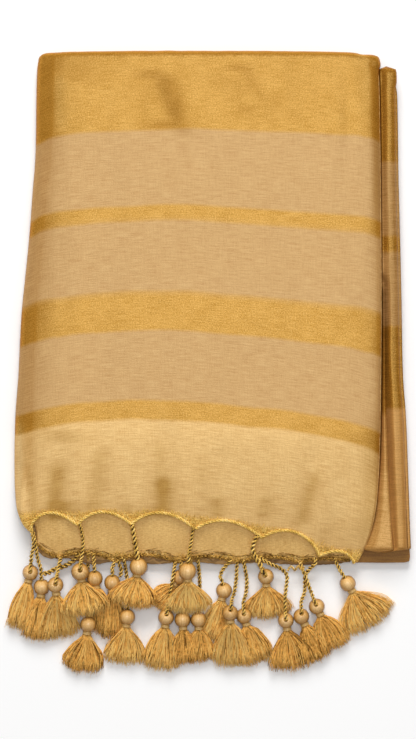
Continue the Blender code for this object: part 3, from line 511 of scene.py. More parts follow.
def banded_cloth(name, bands, slubs=84):
    """Tissue silk with woven bands. Its UV map is in metres: across the cloth, and
    down the rows of its weft. slubs are the weft's thick places to a metre."""
    material, shader = new_material(name)
    place = add_node(material, "UVMap", {"uv_map": "UVMap"})["UV"]
    # uneven yarns, and the sparkle of the metallic yarn where it comes to the surface, as tone and
    # painted glints
    grains = []
    for scale, detail, roughness in (
        ((slubs, WEFT_YARNS, 1), 3.0, 0.6), ((WARP_YARNS, WARP_SLUBS, 1), 2.0, 0.6), (SPARKS, 2.0, 0.75),
    ):
        stretched = add_node(material, "Mapping", {"Scale": scale, "Vector": place})[0]
        grains.append(add_node(material, "TexNoise", {
            "noise_dimensions": "2D", "Scale": 1.0, "Detail": detail, "Roughness": roughness,
            "Vector": stretched})[0])
    weft_yarn, warp_yarn, spark = grains
    patch = add_node(material, "TexNoise", {
        "noise_dimensions": "2D", "Scale": 75.0, "Detail": 3.0, "Vector": place})[0]
    # a band's edge wanders by up to half a millimetre
    wander = add_node(material, "Math", {
        "operation": "MULTIPLY_ADD", 0: warp_yarn, 1: 1.0 * MM, 2: -0.5 * MM})[0]
    straight = add_node(material, "SeparateXYZ", {"Vector": place})["Y"]
    down = add_node(material, "Math", {"operation": "ADD", 0: straight, 1: wander})[0]
    share = add_node(material, "Math", {"operation": "DIVIDE", 0: down, 1: CLOTH_ROWS * GRID})[0]
    ramps = []
    for pick in range(3):
        stops = [(0.0, CLOTHS[bands[0][1]][pick])]
        for (_, before), (start, cloth) in zip(bands, bands[1:]):
            stops.append(((start - BAND_BLUR) / CLOTH_ROWS, CLOTHS[before][pick]))
            stops.append(((start + BAND_BLUR) / CLOTH_ROWS, CLOTHS[cloth][pick]))
        ramps.append(add_node(material, "ValToRGB", {"Fac": share}, stops)[0])
    full, shade, gilt = ramps
    # plain silk shows its weft more than its warp
    woven = add_node(material, "Math", {
        "operation": "MULTIPLY_ADD", 0: warp_yarn, 1: 0.35, 2: weft_yarn})[0]
    gaps = add_node(material, "Math", {"operation": "MULTIPLY_ADD", 0: spark, 1: 0.60, 2: woven})[0]
    gap_share = add_node(material, "MapRange", {
        "From Min": WEAVE_GAPS[0], "From Max": WEAVE_GAPS[1], "Value": gaps})[0]
    spun = add_node(material, "Math", {"operation": "MULTIPLY_ADD", 0: weft_yarn, 1: 0.5, 2: spark})[0]
    spark_share = add_node(material, "MapRange", {"From Min": 0.52, "From Max": 0.96, "Value": spun})[0]
    grain = add_node(material, "Mix", {
        "data_type": "FLOAT", 0: gilt, 2: gap_share, 3: spark_share})[0]
    uneven = add_node(material, "Math", {"operation": "SUBTRACT", 0: patch, 1: 0.5})[0]
    uneven_share = add_node(material, "Math", {
        "operation": "MULTIPLY_ADD", 0: gilt, 1: 0.28, 2: 0.20})[0]
    worn = add_node(material, "Math", {"operation": "MULTIPLY", 0: uneven, 1: uneven_share})[0]
    amount = add_node(material, "Math", {
        "operation": "ADD", "use_clamp": True, 0: grain, 1: worn})[0]
    toned = add_node(material, "Mix", {"data_type": "RGBA", 0: amount, 6: shade, 7: full})[2]
    # painted glints: pale gold mixed into the gilt bands where the spark noise is high
    painted_glint = add_node(material, "MapRange", {
        "From Min": 0.62, "From Max": 0.80, "To Max": 0.5, "Value": spark})[0]
    gilt_painted_glint = add_node(material, "Math", {"operation": "MULTIPLY", 0: painted_glint, 1: gilt})[0]
    coloured = add_node(material, "Mix", {
        "data_type": "RGBA", 0: gilt_painted_glint, 6: toned, 7: GOLD_PAINTED_GLINT})[2]
    # painted shade where the silk slopes away and in crease hollows; painted light where a hollow is
    # below 0
    normal = add_node(material, "NewGeometry")["Normal"]
    facing = add_node(material, "SeparateXYZ", {"Vector": normal})["Z"]
    slope = add_node(material, "MapRange", {"From Min": 0.9995, "From Max": 0.950, "Value": facing})[0]
    painted_crease_shade = add_node(material, "Attribute", {"attribute_name": "painted_crease_shade"})["Fac"]
    # painted light where the crease table is below 0: it takes away the slope's painted shade
    lit = add_node(material, "Math", {
        "operation": "MULTIPLY", "use_clamp": True, 0: painted_crease_shade, 1: -1.0})[0]
    painted_slope_shade = add_node(material, "Math", {
        "operation": "SUBTRACT", "use_clamp": True, 0: slope, 1: lit})[0]
    kept = add_node(material, "Mix", {"data_type": "RGBA", 0: gilt, 6: SILK_SLOPE_PAINTED_SHADE, 7: GOLD_SLOPE_PAINTED_SHADE})[2]
    deeper = add_node(material, "Mix", {
        "data_type": "RGBA", "blend_type": "MULTIPLY", 0: painted_slope_shade, 6: coloured, 7: kept})[2]
    # painted shade in the crease hollows
    depth = add_node(material, "Math", {"operation": "ADD", "use_clamp": True, 0: painted_crease_shade, 1: 0.0})[0]
    painted_crease_shaded = add_node(material, "Mix", {
        "data_type": "RGBA", "blend_type": "MULTIPLY", 0: depth, 6: deeper, 7: HOLLOW})[2]
    # gold needlework, where the attribute says that the cloth is worked over
    worked = add_node(material, "Attribute", {"attribute_name": "worked"})["Fac"]
    crossed = []
    for lean in (STITCH_LEAN, -STITCH_LEAN):
        leaning = add_node(material, "Mapping", {
            "Rotation": (0, 0, lean), "Scale": (170, 800, 1), "Vector": place})[0]
        crossed.append(add_node(material, "TexNoise", {
            "noise_dimensions": "2D", "Scale": 1.0, "Vector": leaning})[0])
    thread = add_node(material, "Math", {"operation": "MAXIMUM", 0: crossed[0], 1: crossed[1]})[0]
    hole = add_node(material, "TexVoronoi", {
        "voronoi_dimensions": "2D", "Scale": 430.0, "Vector": place})["Distance"]
    hole_share = add_node(material, "MapRange", {
        "From Min": 0.06, "From Max": 0.22, "To Min": -0.30, "To Max": 0.0, "Value": hole})[0]
    netted = add_node(material, "Math", {"operation": "ADD", 0: thread, 1: hole_share})[0]
    net = add_node(
        material, "ValToRGB", {"Fac": netted},
        [(0.26, "#8c5a1a"), (0.48, "#e0a94f"), (0.68, "#ffd679")])[0]
    finished = add_node(material, "Mix", {"data_type": "RGBA", 0: worked, 6: painted_crease_shaded, 7: net})[2]
    relief = add_node(material, "Math", {"operation": "ADD", 0: gaps, 1: spark})[0]
    surface = add_node(material, "Mix", {"data_type": "FLOAT", 0: worked, 2: relief, 3: netted})[0]
    bump = add_node(material, "Bump", {"Strength": 0.35, "Distance": 0.25 * MM, "Height": surface})[0]
    # silk has a soft sheen, and the gilt bands are more metallic and a little smoother
    metal = add_node(material, "Math", {"operation": "MULTIPLY_ADD", 0: gilt, 1: 0.26, 2: 0.26})[0]
    rough = add_node(material, "MapRange", {"To Min": 0.46, "To Max": 0.43, "Value": gilt})[0]
    set_node(shader, {
        "Base Color": finished, "Normal": bump, "Metallic": metal, "Roughness": rough,
        "Specular IOR Level": 0.3, "Specular Tint": "#c79a58"})
    return material


BORDER_FADE = 8.0               # rows over which the needlework comes in


def sheet(name, across, along, place_point, material, border=None):
    """A thin sheet of cloth over a grid of across x along cells, each point put
    in its place with its UV, in metres, by place_point. border gives the row, at
    a column, from which a part of the pallu is worked over with gold thread."""
    bm = bmesh.new()
    layer = bm.loops.layers.uv.new("UVMap")
    worked = bm.verts.layers.float.new("worked")
    painted_crease_shade = bm.verts.layers.float.new("painted_crease_shade")
    bmesh.ops.create_grid(bm, x_segments=across, y_segments=along, size=1.0, calc_uvs=True)
    maps = {}
    for vert in bm.verts:
        i = round((vert.co.x + 1) / 2 * across)
        j = round((1 - vert.co.y) / 2 * along)
        vert.co, maps[vert] = place_point(i, j)
        if border:
            col, line = MIDDLE_COLUMN + vert.co.x / GRID, MIDDLE_ROW - vert.co.y / GRID
            vert[worked] = smooth_step((line - border(col)) / BORDER_FADE)
            # painted shade, or painted light below 0, from the crease table
            vert[painted_crease_shade] = soft_lines(PAINTED_CREASE_SHADING, col, line, False)
    for face in bm.faces:
        for corner in face.loops:
            corner[layer].uv = maps[corner.vert]
    return finish_mesh(bm, name, material)


def add_thickness(piece, thickness):
    """Give a sheet the thickness of its cloth, inwards from its outer side."""
    wall = piece.modifiers.new("cloth", "SOLIDIFY")
    wall.thickness = thickness
    wall.offset = -1.0
    wall.use_even_offset = False


# Hidden folded layers
# What is inside the pack: some fifty thicknesses of the same silk, whose soft
# edges can be seen from the tasselled end and from the right.
INNER_BOTTOM = BASE_HEIGHT + 0.2 * MM
INNER_INSET = 1.4 * MM          # below the cloth on top
INNER_LEAST = 1.5 * MM          # height that it keeps everywhere
INNER_LAYERS = 12               # folded edges that can be told apart over its height
INNER_ROWS = (60, 540)
INNER_SHIFTS = (1.0, 1.5)       # columns by which its sides lie left of the top's rolls
INNER_CLOSE = 0.04              # share of its length over which each end closes
INNER_STEP_ROW = 490            # from here the layers next below the pallu end
INNER_STEP = 2.4 * MM
INNER_ROUND = 3.2 * MM          # how far its sides stand out
INNER_GROOVE = 0.18 * MM
INNER_CLOTH = 0.3 * MM
INNER_SIDE = 40
INNER_ACROSS = 120
INNER_DOWN = 84

# Pressed silk seen at its edges: nearly matt, in level lines about 0.5 mm apart, as
# each layer is about 0.4 mm thick
inner_cloth, shader = new_material("inner_silk_layers")
place = add_node(inner_cloth, "TexCoord")["Object"]
stretched = add_node(inner_cloth, "Mapping", {"Scale": (30, 30, 2200), "Vector": place})[0]
edges = add_node(inner_cloth, "TexNoise", {"Scale": 1.0, "Detail": 2.0, "Vector": stretched})[0]
tone = add_node(inner_cloth, "ValToRGB", {"Fac": edges}, [(0.35, "#7d5a2c"), (0.62, "#c59a5c")])[0]
bump = add_node(inner_cloth, "Bump", {"Strength": 0.7, "Distance": 0.4 * MM, "Height": edges})[0]
set_node(shader, {"Base Color": tone, "Normal": bump, "Roughness": 0.6, "Sheen Weight": 0.2})


def inner_place(i, j):
    """Point of the hidden layers' outer face: i goes over the top from the left
    foot to the right one, j from the back to the tasselled end."""
    t = j / INNER_DOWN
    line = between(INNER_ROWS, clip((t - INNER_CLOSE) / (1 - 2 * INNER_CLOSE)))
    sink = smooth_step(1 - t / INNER_CLOSE) + smooth_step(1 - (1 - t) / INNER_CLOSE)
    side = min(i, INNER_ACROSS - i)
    f = clip((i - INNER_SIDE) / (INNER_ACROSS - 2 * INNER_SIDE))
    left, right = INNER_SHIFTS
    col = between((side_limit(line, -1) - left, side_limit(line, 1) - right), f)
    drop = INNER_INSET + (INNER_STEP if line > INNER_STEP_ROW else 0.0)
    top = max(cloth_height(col, line) - drop, INNER_BOTTOM + INNER_LEAST)
    height = top
    out = 0.0
    if side < INNER_SIDE:
        level = (INNER_SIDE - side) / INNER_SIDE
        height = between((top, INNER_BOTTOM), level)
        out = INNER_ROUND * math.sqrt(max(1 - (1 - min(level * 3, 1)) ** 2, 0))
        out *= 1 - hem_taper(line) * 0.9
        out += INNER_GROOVE * math.sin(level * INNER_LAYERS * 2 * math.pi)
    height += (INNER_BOTTOM - height) * sink
    x = column(col) + (-out if f <= 0 else out if f >= 1 else 0)
    return Vector((x, row(line), height)), (x, -row(line))


inner_layers = sheet("inner_folded_layers", INNER_ACROSS, INNER_DOWN, inner_place, inner_cloth)
add_thickness(inner_layers, INNER_CLOTH)
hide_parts("folded_core")

# Pallu, top stretch
# The end piece of the saree, a single layer of tissue silk. It rolls over the
# back and both sides, and is cut and bound in scallops at the tasselled end.
SILK_THICKNESS = 0.35 * MM
ROLL_STEPS = 8
WALL_STEPS = 6
TOP_STEPS = 150
FIRST_ROW = 58.7
HEM_ROW = 528.0
FOLLOW_ROWS = (400.0, 515.0)
PLAIN_STEPS = 120               # rows of cells down to HEM_START
HEM_STEPS = 50                  # and from there to the hem
HEM_START = 455.0
# Scallops: column and row of each knot, and how far the edge rises, in rows,
# half way to the next
HEM_KNOTS = (
    (33, 531, 15.5), (82, 524, 12.5), (133, 523, 13.5), (192, 528, 12.5),
    (254, 537, 15), (316, 555, 8), (357, 563, 0),
)
# How many rows the back edge lies in front of its mean, by column
BACK_LINE = (
    (36, 2.5), (45, 1.0), (60, 0.4), (150, -0.6), (300, -0.2), (345, 0.7), (356, 1.5),
    (362, 2.9), (370, 3.0), (375, 3.8), (379, 6.0),
)
STITCHED_ROWS = 2.5             # the stitched border's depth at the top of a scallop
GATHER = 0.55 * MM              # ridges that run up from each knot
GATHER_ROWS = 60
GATHER_WIDTH = 4                # columns
GATHER_LEAN = 0.10              # columns a row by which they lean, at most, and widen
BESIDE_GATHER = (14, 7)         # columns from a ridge to the hollow beside it, and its width
ROLL_LIMIT = 0.8                # of the height over the rim that a roll may take up
WALL_PINCH = 0.35 * MM
WALL_HOLLOW = 0.3 * MM
WALL_CLOTH = 9.0 * MM           # cloth on the wall below a side roll
BACK_LINE_ROWS = 40             # rows over which the back edge's line dies away
BACK_STEP_ROWS = 1.3            # rows of cloth to a step over the back
BACK_FULLNESS = 0.5             # 0 is as round as the sides
BACK_HOLLOW = 0.06              # of the roll's width
BACK_WAVE = 0.3 * MM
SIDE_STEPS = ROLL_STEPS + WALL_STEPS
PANEL_ACROSS = TOP_STEPS + 2 * SIDE_STEPS
PANEL_DOWN = SIDE_STEPS + PLAIN_STEPS + HEM_STEPS


def scallop_row(knots, col):
    """Row of a scalloped edge at a column."""
    i = 0
    while i < len(knots) - 2 and knots[i + 1][0] < col:
        i += 1
    (c0, r0, rise), (c1, r1, _) = knots[i], knots[i + 1]
    t = clip((col - c0) / (c1 - c0))
    return between((r0, r1), t) - 4 * rise * t * (1 - t)


def stitched_from(knots, col):
    """Row where the stitched border starts: just above the tops of the scallops."""
    tops = []
    for (c0, r0, rise), (c1, r1, _) in zip(knots, knots[1:]):
        tops.append(((c0 + c1) / 2, (r0 + r1) / 2 - rise - STITCHED_ROWS))
    return read_table(tops, col)


def gathers(col, line):
    """Soft ridges above the knots and hollows between them."""
    height = 0.0
    for c, r, _ in HEM_KNOTS:
        above = max(r - line, 0.0)
        near = GATHER * smooth_step(1 - above / GATHER_ROWS)
        from_ridge = col - c - above * GATHER_LEAN * math.sin(c)
        away = from_ridge / (GATHER_WIDTH + GATHER_LEAN * above)
        height += near * math.exp(-away * away)
        away = (from_ridge - BESIDE_GATHER[0]) / BESIDE_GATHER[1]
        height -= 0.5 * near * math.exp(-away * away)
    return height


def rolled(level, turn):
    """How far out and down, from 0 to 1, a fold is at a level of its roll, which
    starts at the slope of turn."""
    angle = turn + (math.pi / 2 - turn) * min(level / ROLL_STEPS, 1.0)
    out = (math.sin(angle) - math.sin(turn)) / (1 - math.sin(turn))
    return out, 1 - math.cos(angle) / math.cos(turn)


def side_point(line, side, sign):
    """(x, z) of the cloth on a side roll or the wall below it, side steps out."""
    limit = side_limit(line, sign)
    rim = side_rim(line, sign)
    start = cloth_height(limit, line)
    out, down = rolled(side, SIDES[sign]["turn"])
    x = column(limit) + sign * roll_size(SIDES[sign]["roll"], line) * out
    z = start - min(roll_size(ROLL_DEPTH, line), (start - rim) * ROLL_LIMIT) * down
    if side > ROLL_STEPS:
        part = (side - ROLL_STEPS) / WALL_STEPS
        z += (rim - z) * part
        pinch = WALL_PINCH * noise.noise(Vector((line / 30, z * 300, 4.0 * sign)))
        x += pinch - sign * WALL_HOLLOW * math.sin(part * math.pi)
    return x, z


def top_point(f, at):
    """Point of the flat top a share f across, where the weft has the row at."""
    hem_row = scallop_row(HEM_KNOTS, between((HEM_KNOTS[0][0], HEM_KNOTS[-1][0]), f))
    follow = smooth_step((at - FOLLOW_ROWS[0]) / (FOLLOW_ROWS[1] - FOLLOW_ROWS[0]))
    line = at + follow * (hem_row - HEM_ROW)
    return between((side_limit(line, -1), side_limit(line, 1)), f), line


def panel_place(i, j):
    """Place and UV of a point of the top stretch."""
    plain = j - SIDE_STEPS
    at = between((FIRST_ROW, HEM_START), clip(plain / PLAIN_STEPS))
    if plain > PLAIN_STEPS:
        at = between((HEM_START, HEM_ROW), (plain - PLAIN_STEPS) / HEM_STEPS)
    side = max(SIDE_STEPS - i, i - (SIDE_STEPS + TOP_STEPS), 0)
    sign = -1 if i < PANEL_ACROSS / 2 else 1
    f = clip((i - SIDE_STEPS) / TOP_STEPS)
    col, line = top_point(f, at)
    x = column(col)
    z = cloth_height(col, line) + gathers(col, line)
    back = SIDE_STEPS - j
    bend = smooth_step(1 - (line - FIRST_ROW) / BACK_LINE_ROWS)
    y = row(line + read_table(BACK_LINE, col) * bend)
    if back <= 0:
        if side:
            x, z = side_point(line, side, sign)
        straight = weft_row(MIDDLE_COLUMN + x / GRID, line)
        wall = max(side - ROLL_STEPS, 0) / WALL_STEPS * WALL_CLOTH
        return Vector((x, y, z)), (x + sign * wall, straight * GRID)
    # over the back, and round its two corners
    deep = max(back, side)
    turn = math.pi / 4 * min(back, side) / deep
    if back > side:
        turn = math.pi / 2 - turn
    out, down = rolled(deep, SIDES[sign]["turn"] * math.cos(turn) if side else 0.0)
    out = out ** (1.0 - BACK_FULLNESS * math.sin(turn))
    rim = SIDES[-1]["rim"]
    low = z - min(ROLL_DEPTH, (z - rim) * ROLL_LIMIT) * down
    if deep > ROLL_STEPS:
        part = (deep - ROLL_STEPS) / WALL_STEPS
        low += (rim - low) * part
        out -= BACK_HOLLOW * math.sin(part * math.pi)
    if side:
        x += sign * SIDES[sign]["roll"] * out * math.cos(turn)
    y += TOP_ROLL * out * math.sin(turn)
    y += BACK_WAVE * noise.noise(Vector((col / 16, 2.0, 6.0)))
    straight = weft_row(MIDDLE_COLUMN + x / GRID, line) - back * BACK_STEP_ROWS
    return Vector((x, y, low)), (x, straight * GRID)


pallu_cloth = banded_cloth("pallu_tissue_silk", PALLU_BANDS)
pallu_top = sheet(
    "pallu_top_stretch", PANEL_ACROSS, PANEL_DOWN, panel_place, pallu_cloth,
    lambda col: stitched_from(HEM_KNOTS, col))
add_thickness(pallu_top, SILK_THICKNESS)
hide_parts("pallu_top_panel")

# Pallu, under stretch
# The layer below, of the same silk. It shows through the scallops and has a
# scalloped and bound edge of its own.
UNDER_DROP = 2.2 * MM
UNDER_INSET = 1.5               # columns inside the top's sides
UNDER_LEAST = 1.0 * MM          # over the lowest layers
UNDER_WAVE = 0.35 * MM
UNDER_FURTHER = 20              # rows further down the cloth than the layer on top
UNDER_ROWS = (488.0, 558.0)
UNDER_KNOTS = (
    (36.5, 543, -3), (60, 557, 6.5), (115, 561, 7), (176, 562, 6), (238, 562, 5),
    (300, 562, 3), (350.5, 560.5, 0),
)
UNDER_ACROSS = 170
UNDER_DOWN = 44


def under_place(i, j):
    """Place and UV of a point of the under stretch."""
    f = i / UNDER_ACROSS
    part = j / UNDER_DOWN
    hem_col = between((UNDER_KNOTS[0][0], UNDER_KNOTS[-1][0]), f)
    hem_row = scallop_row(UNDER_KNOTS, hem_col)
    follow = smooth_step(part)
    line = between(UNDER_ROWS, part) + follow * (hem_row - UNDER_ROWS[1])
    col = between((side_limit(line, -1) + UNDER_INSET, side_limit(line, 1) - UNDER_INSET), f)
    col += (hem_col - col) * follow
    z = cloth_height(col, line) - UNDER_DROP
    z += UNDER_WAVE * noise.noise(Vector((col / 9, line / 24, 11.0)))
    z = max(z, BASE_HEIGHT + UNDER_LEAST)
    return Vector((column(col), row(line), z)), (column(col), (line + UNDER_FURTHER) * GRID)


under_cloth = banded_cloth("pallu_under_silk", ((0, "under"), (900, "beige")), slubs=330)
pallu_under = sheet(
    "pallu_under_stretch", UNDER_ACROSS, UNDER_DOWN, under_place, under_cloth,
    lambda col: stitched_from(UNDER_KNOTS, col))
add_thickness(pallu_under, SILK_THICKNESS)
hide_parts("pallu_under_layer")

# Folds at the right
# The pack's layers end in folds at the right: a wide roll, a thin edge outside
# it and a narrow fold beside the pallu. All are turns of the same banded silk.
LAYER_GAP = 0.5 * MM
FOLD_CLOTH = 0.3 * MM
FOLD_AROUND = 44
FOLD_STEP = 3.2                 # rows from one section to the next
FOLD_END_ROWS = (440.0, 545.0)  # where the folds thin towards their lower ends
# First and last row of each fold, and over how many rows its ends are rounded off
EDGE_FOLD_ROWS = (73, 552, 4)
ROLL_ROWS = (66, 553, 8)
INNER_FOLD_ROWS = (285, 553, 8)
INNER_FOLD_EDGE = (
    (283, 384.2), (340, 384.8), (400, 385.6), (440, 387.3), (480, 388.8),
    (515, 390.7), (549, 393),
)
ROLL_EDGE = (
    (66, 393.5), (70, 396.2), (80, 396.8), (86, 396.2), (90, 395.2), (115, 395.6),
    (175, 396), (215, 397), (295, 398.8),
    (375, 400.3), (415, 403), (455, 404.6), (505, 406), (549, 407),
)
EDGE_FOLD_EDGE = (
    (72, 393), (84, 395.6), (92, 397), (115, 397.7), (175, 398.5), (215, 399.5), (295, 401.3),
    (375, 402.8), (415, 405.5), (455, 407), (505, 408.3), (549, 409.5),
)
EDGE_FOLD_BOTTOM = 5.3 * MM
EDGE_FOLD_TOP = 7.8 * MM
ROLL_BOTTOM = 8.1 * MM
# Heights of two tops and of the roll's inner shelf, along their length and at
# their lower ends
ROLL_TOP = (15.5 * MM, 12.2 * MM)
INNER_FOLD_TOP = (16.2 * MM, 13.4 * MM)
SHELF = (11.0 * MM, 9.5 * MM)
INNER_FOLD_START = 283.0        # row from which the roll carries the inner fold
SHELF_ROWS = 12                 # rows over which its shelf comes in
END_MARGIN = 0.6                # rows that keep its ends a little open
END_SHARE = 0.02                # of its section that is left at an end
SWAY_ROWS = 1.2                 # rows by which its weft sways
ROLL_BANDS = (
    (0, "roll gold in painted shade"), (161, "roll beige in painted shade"), (237, "roll gold in painted shade"), (252, "roll beige in painted shade"),
    (326, "roll gold in painted shade"), (409, "brown"),
)
INNER_FOLD_BANDS = ((0, "roll beige in painted shade"), (326, "roll gold in painted shade"), (414, "brown"), (470, "fold beige"))
# the roll's gold and beige are darker copies of the pallu's: painted shade on folds that lie lower
CLOTHS["roll gold in painted shade"] = ("#d2a152", "#93682a", 1.0)
CLOTHS["roll beige in painted shade"] = ("#caa069", "#a17842", 0.0)
CLOTHS["fold beige"] = ("#e6b877", "#bb8a4a", 0.15)


def fold_height(heights, line):
    """A fold keeps its height, then thins towards its lower end."""
    first, last = FOLD_END_ROWS
    return between(heights, smooth_step((line - first) / (last - first)))


def end_taper(line, rows):
    """Near 0 at a fold's ends and 1 away from them: rounds its ends off."""
    first, last, length = rows
    near = (min(line - first, last - line) + END_MARGIN) / length
    return math.sqrt(1 - (1 - min(near, 1.0)) ** 2)


def curve_points(p0, p1, p2, p3, count):
    """count points from p1 towards p2 on a smooth curve through the four."""
    return [
        0.5 * (2 * p1 + (p2 - p0) * t + (2 * p0 - 5 * p1 + 4 * p2 - p3) * t**2
               + (3 * p1 - p0 - 3 * p2 + p3) * t**3)
        for t in (k / count for k in range(count))
    ]


def smooth_loop(points, count):
    """count + 1 even points round a smooth closed curve, its first again last,
    and how long it is."""
    fine = []
    for k in range(len(points)):
        fine += curve_points(*[points[(k + d) % len(points)] for d in (-1, 0, 1, 2)], 6)
    fine.append(fine[0])
    round_length = sum((b - a).length for a, b in zip(fine, fine[1:]))
    return even_points(fine, count=count), round_length


def edge_fold_section(line):
    """Section of the thin outer edge: (x, z) points, with a groove between layers."""
    left = column(read_table(RIGHT_EDGE, line)) + LAYER_GAP
    taper = end_taper(line, EDGE_FOLD_ROWS)
    right = column(read_table(EDGE_FOLD_EDGE, line)) - 1.5 * MM * (1 - taper)
    middle = (EDGE_FOLD_BOTTOM + EDGE_FOLD_TOP) / 2
    return [
        (left, EDGE_FOLD_BOTTOM), (right - 0.8 * MM, EDGE_FOLD_BOTTOM),
        (right, EDGE_FOLD_BOTTOM + 0.5 * MM), (right - 0.6 * MM, middle),
        (right, EDGE_FOLD_TOP - 0.5 * MM), (right - 0.8 * MM, EDGE_FOLD_TOP),
        (left, EDGE_FOLD_TOP),
    ]


def roll_section(line):
    """Section of the wide roll. Its inner side is low where it carries a fold."""
    left = column(read_table(RIGHT_EDGE, line)) + LAYER_GAP
    right = column(read_table(ROLL_EDGE, line))
    taper = end_taper(line, ROLL_ROWS)
    top = ROLL_BOTTOM + (fold_height(ROLL_TOP, line) - ROLL_BOTTOM) * taper
    inner = left + 0.8 * MM
    if line >= INNER_FOLD_START:
        inner = column(read_table(INNER_FOLD_EDGE, line)) + 0.3 * MM
    rise = top - ROLL_BOTTOM
    free = smooth_step((INNER_FOLD_START - line) / SHELF_ROWS)
    step = min(fold_height(SHELF, line), top - 0.6 * MM)
    step += (top - 0.30 * rise - step) * free
    middle = (inner + right) / 2 + 0.6 * MM * noise.noise(Vector((line / 40, 0.3, 7.7)))
    return [
        (left, ROLL_BOTTOM), (right - 1.2 * MM, ROLL_BOTTOM), (right, ROLL_BOTTOM + 0.25 * rise),
        (right - 0.3 * MM, ROLL_BOTTOM + 0.6 * rise), (right - 1.7 * MM, ROLL_BOTTOM + 0.88 * rise),
        (middle + 0.5 * MM, top), (middle - 2.2 * MM, top - 0.3 * MM), (inner, step), (left, step),
    ]


def inner_fold_section(line):
    """Section of the narrow fold beside the pallu."""
    left = column(read_table(RIGHT_EDGE, line)) + LAYER_GAP
    right = column(read_table(INNER_FOLD_EDGE, line))
    bottom = fold_height(SHELF, line) + 0.3 * MM
    taper = end_taper(line, INNER_FOLD_ROWS)
    top = bottom + (fold_height(INNER_FOLD_TOP, line) - bottom) * taper
    round_off = min(1.4 * MM, 0.4 * (right - left))
    return [
        (left, bottom), (right - 0.5 * round_off, bottom), (right, bottom + 0.35 * (top - bottom)),
        (right, bottom + 0.7 * (top - bottom)), (right - round_off, top),
        (left + 0.42 * (right - left), top), (left + 0.15 * (right - left), top - 1.3 * MM * taper),
        (left, top - 2.6 * MM * taper),
    ]


def add_fold(name, section, rows, material, node):
    """A tube of silk along its rows, drawn together at its ends."""
    first, last, _ = rows
    down = round((last - first) / FOLD_STEP)
    rings = []
    for j in range(down + 1):
        line = between((first, last), j / down)
        points = [Vector((x, row(line), z)) for x, z in section(line)]
        ring, round_length = smooth_loop(points, FOLD_AROUND)
        if j in (0, down):
            centre = sum(ring[1:], Vector()) / FOLD_AROUND
            ring = [centre + (p - centre) * END_SHARE for p in ring]
        rings.append((line, ring, round_length))

    def place_point(i, j):
        line, ring, round_length = rings[j]
        point = ring[FOLD_AROUND - i]
        sway = SWAY_ROWS * noise.noise(Vector((point.x * 260, point.z * 260, line / 70)))
        across = round_length * i / FOLD_AROUND
        return point, (across, (line + sway) * GRID)

    piece = sheet(name, FOLD_AROUND, down, place_point, material)
    add_thickness(piece, FOLD_CLOTH)
    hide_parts(node)
    return piece


roll_cloth = banded_cloth("roll_tissue_silk", ROLL_BANDS)
inner_fold_cloth = banded_cloth("inner_fold_silk", INNER_FOLD_BANDS)
edge_fold = add_fold(
    "edge_fold", edge_fold_section, EDGE_FOLD_ROWS, roll_cloth, "right_edge_fold")
roll = add_fold("wide_roll", roll_section, ROLL_ROWS, roll_cloth, "right_roll")
inner_fold = add_fold(
    "inner_fold", inner_fold_section, INNER_FOLD_ROWS, inner_fold_cloth, "right_inner_fold")

# Bound edges of the scallops
# Both hems are bound with a twisted gold metallic thread, whipped on over the
# cut edge. From it the cords of the tassels hang.
BINDING_OUT = 0.5 * MM          # its middle beyond the cloth's edge
BINDING_OFFSET = 0.78 * MM
BINDING_THREAD = 0.70 * MM
BINDING_TWIST = 9.0 * MM
THREAD_STEP = 0.55 * MM
ZARI_GOLD = "#ffd670"
ZARI_SHADE = "#b08231"
ZARI_PAINTED_GLINT = "#ffe7a6"
FOIL_BLEND = 0.28               # noise over which worn foil gives way to whole


def zari(name, full, shade, wear=0.52):
    """Metallic thread: gilt foil wound on a yarn, worn in places. wear is the noise
    below which the foil is all gone, so a higher one shows more of the yarn."""
    material, shader = new_material(name)
    place = add_node(material, "TexCoord")["Object"]
    # the foil's turns are drawn 1 mm long, coarser than real ones, so that they show
    foil = add_node(material, "TexNoise", {
        "Scale": 1100.0, "Detail": 2.0, "Roughness": 0.7, "Vector": place})[0]
    # it is worn in places of about 6 mm
    worn = add_node(material, "TexNoise", {"Scale": 160.0, "Detail": 2.0, "Vector": place})[0]
    both = add_node(material, "Math", {"operation": "MULTIPLY_ADD", 0: worn, 1: 0.5, 2: foil})[0]
    # its palest tones, where the foil's noise is highest, are painted glints
    tone = add_node(
        material, "ValToRGB", {"Fac": both},
        [(wear, shade), (wear + FOIL_BLEND, full), (0.99, ZARI_PAINTED_GLINT)])[0]
    bump = add_node(material, "Bump", {"Strength": 0.6, "Distance": 0.3 * MM, "Height": foil})[0]
    set_node(shader, {
        "Base Color": tone, "Normal": bump, "Metallic": 0.15, "Roughness": 0.32,
        "Specular IOR Level": 0.8, "Specular Tint": "#f0c070"})
    return material


def smooth_route(points, step):
    """Evenly spaced points on a smooth curve through the given ones."""
    ends = [points[0] * 2 - points[1], *points, points[-1] * 2 - points[-2]]
    fine = []
    for four in zip(ends, ends[1:], ends[2:], ends[3:]):
        fine += curve_points(*four, 12)
    fine.append(points[-1])
    return even_points(fine, step)


def twisted(route, count, offset, twist, step, start=0.0):
    """Routes of count threads twisted round a route whose points are step apart."""
    side = Vector((0.0, 0.0, 1.0)).cross(route[1] - route[0]).normalized()
    threads = [[] for _ in range(count)]
    for k, point in enumerate(route):
        along = (route[min(k + 1, len(route) - 1)] - route[max(k - 1, 0)]).normalized()
        side = (side - along * side.dot(along)).normalized()
        up = along.cross(side)
        for n in range(count):
            turn = start + 2 * math.pi * (k * step / twist + n / count)
            threads[n].append(point + (side * math.cos(turn) + up * math.sin(turn)) * offset)
    return threads


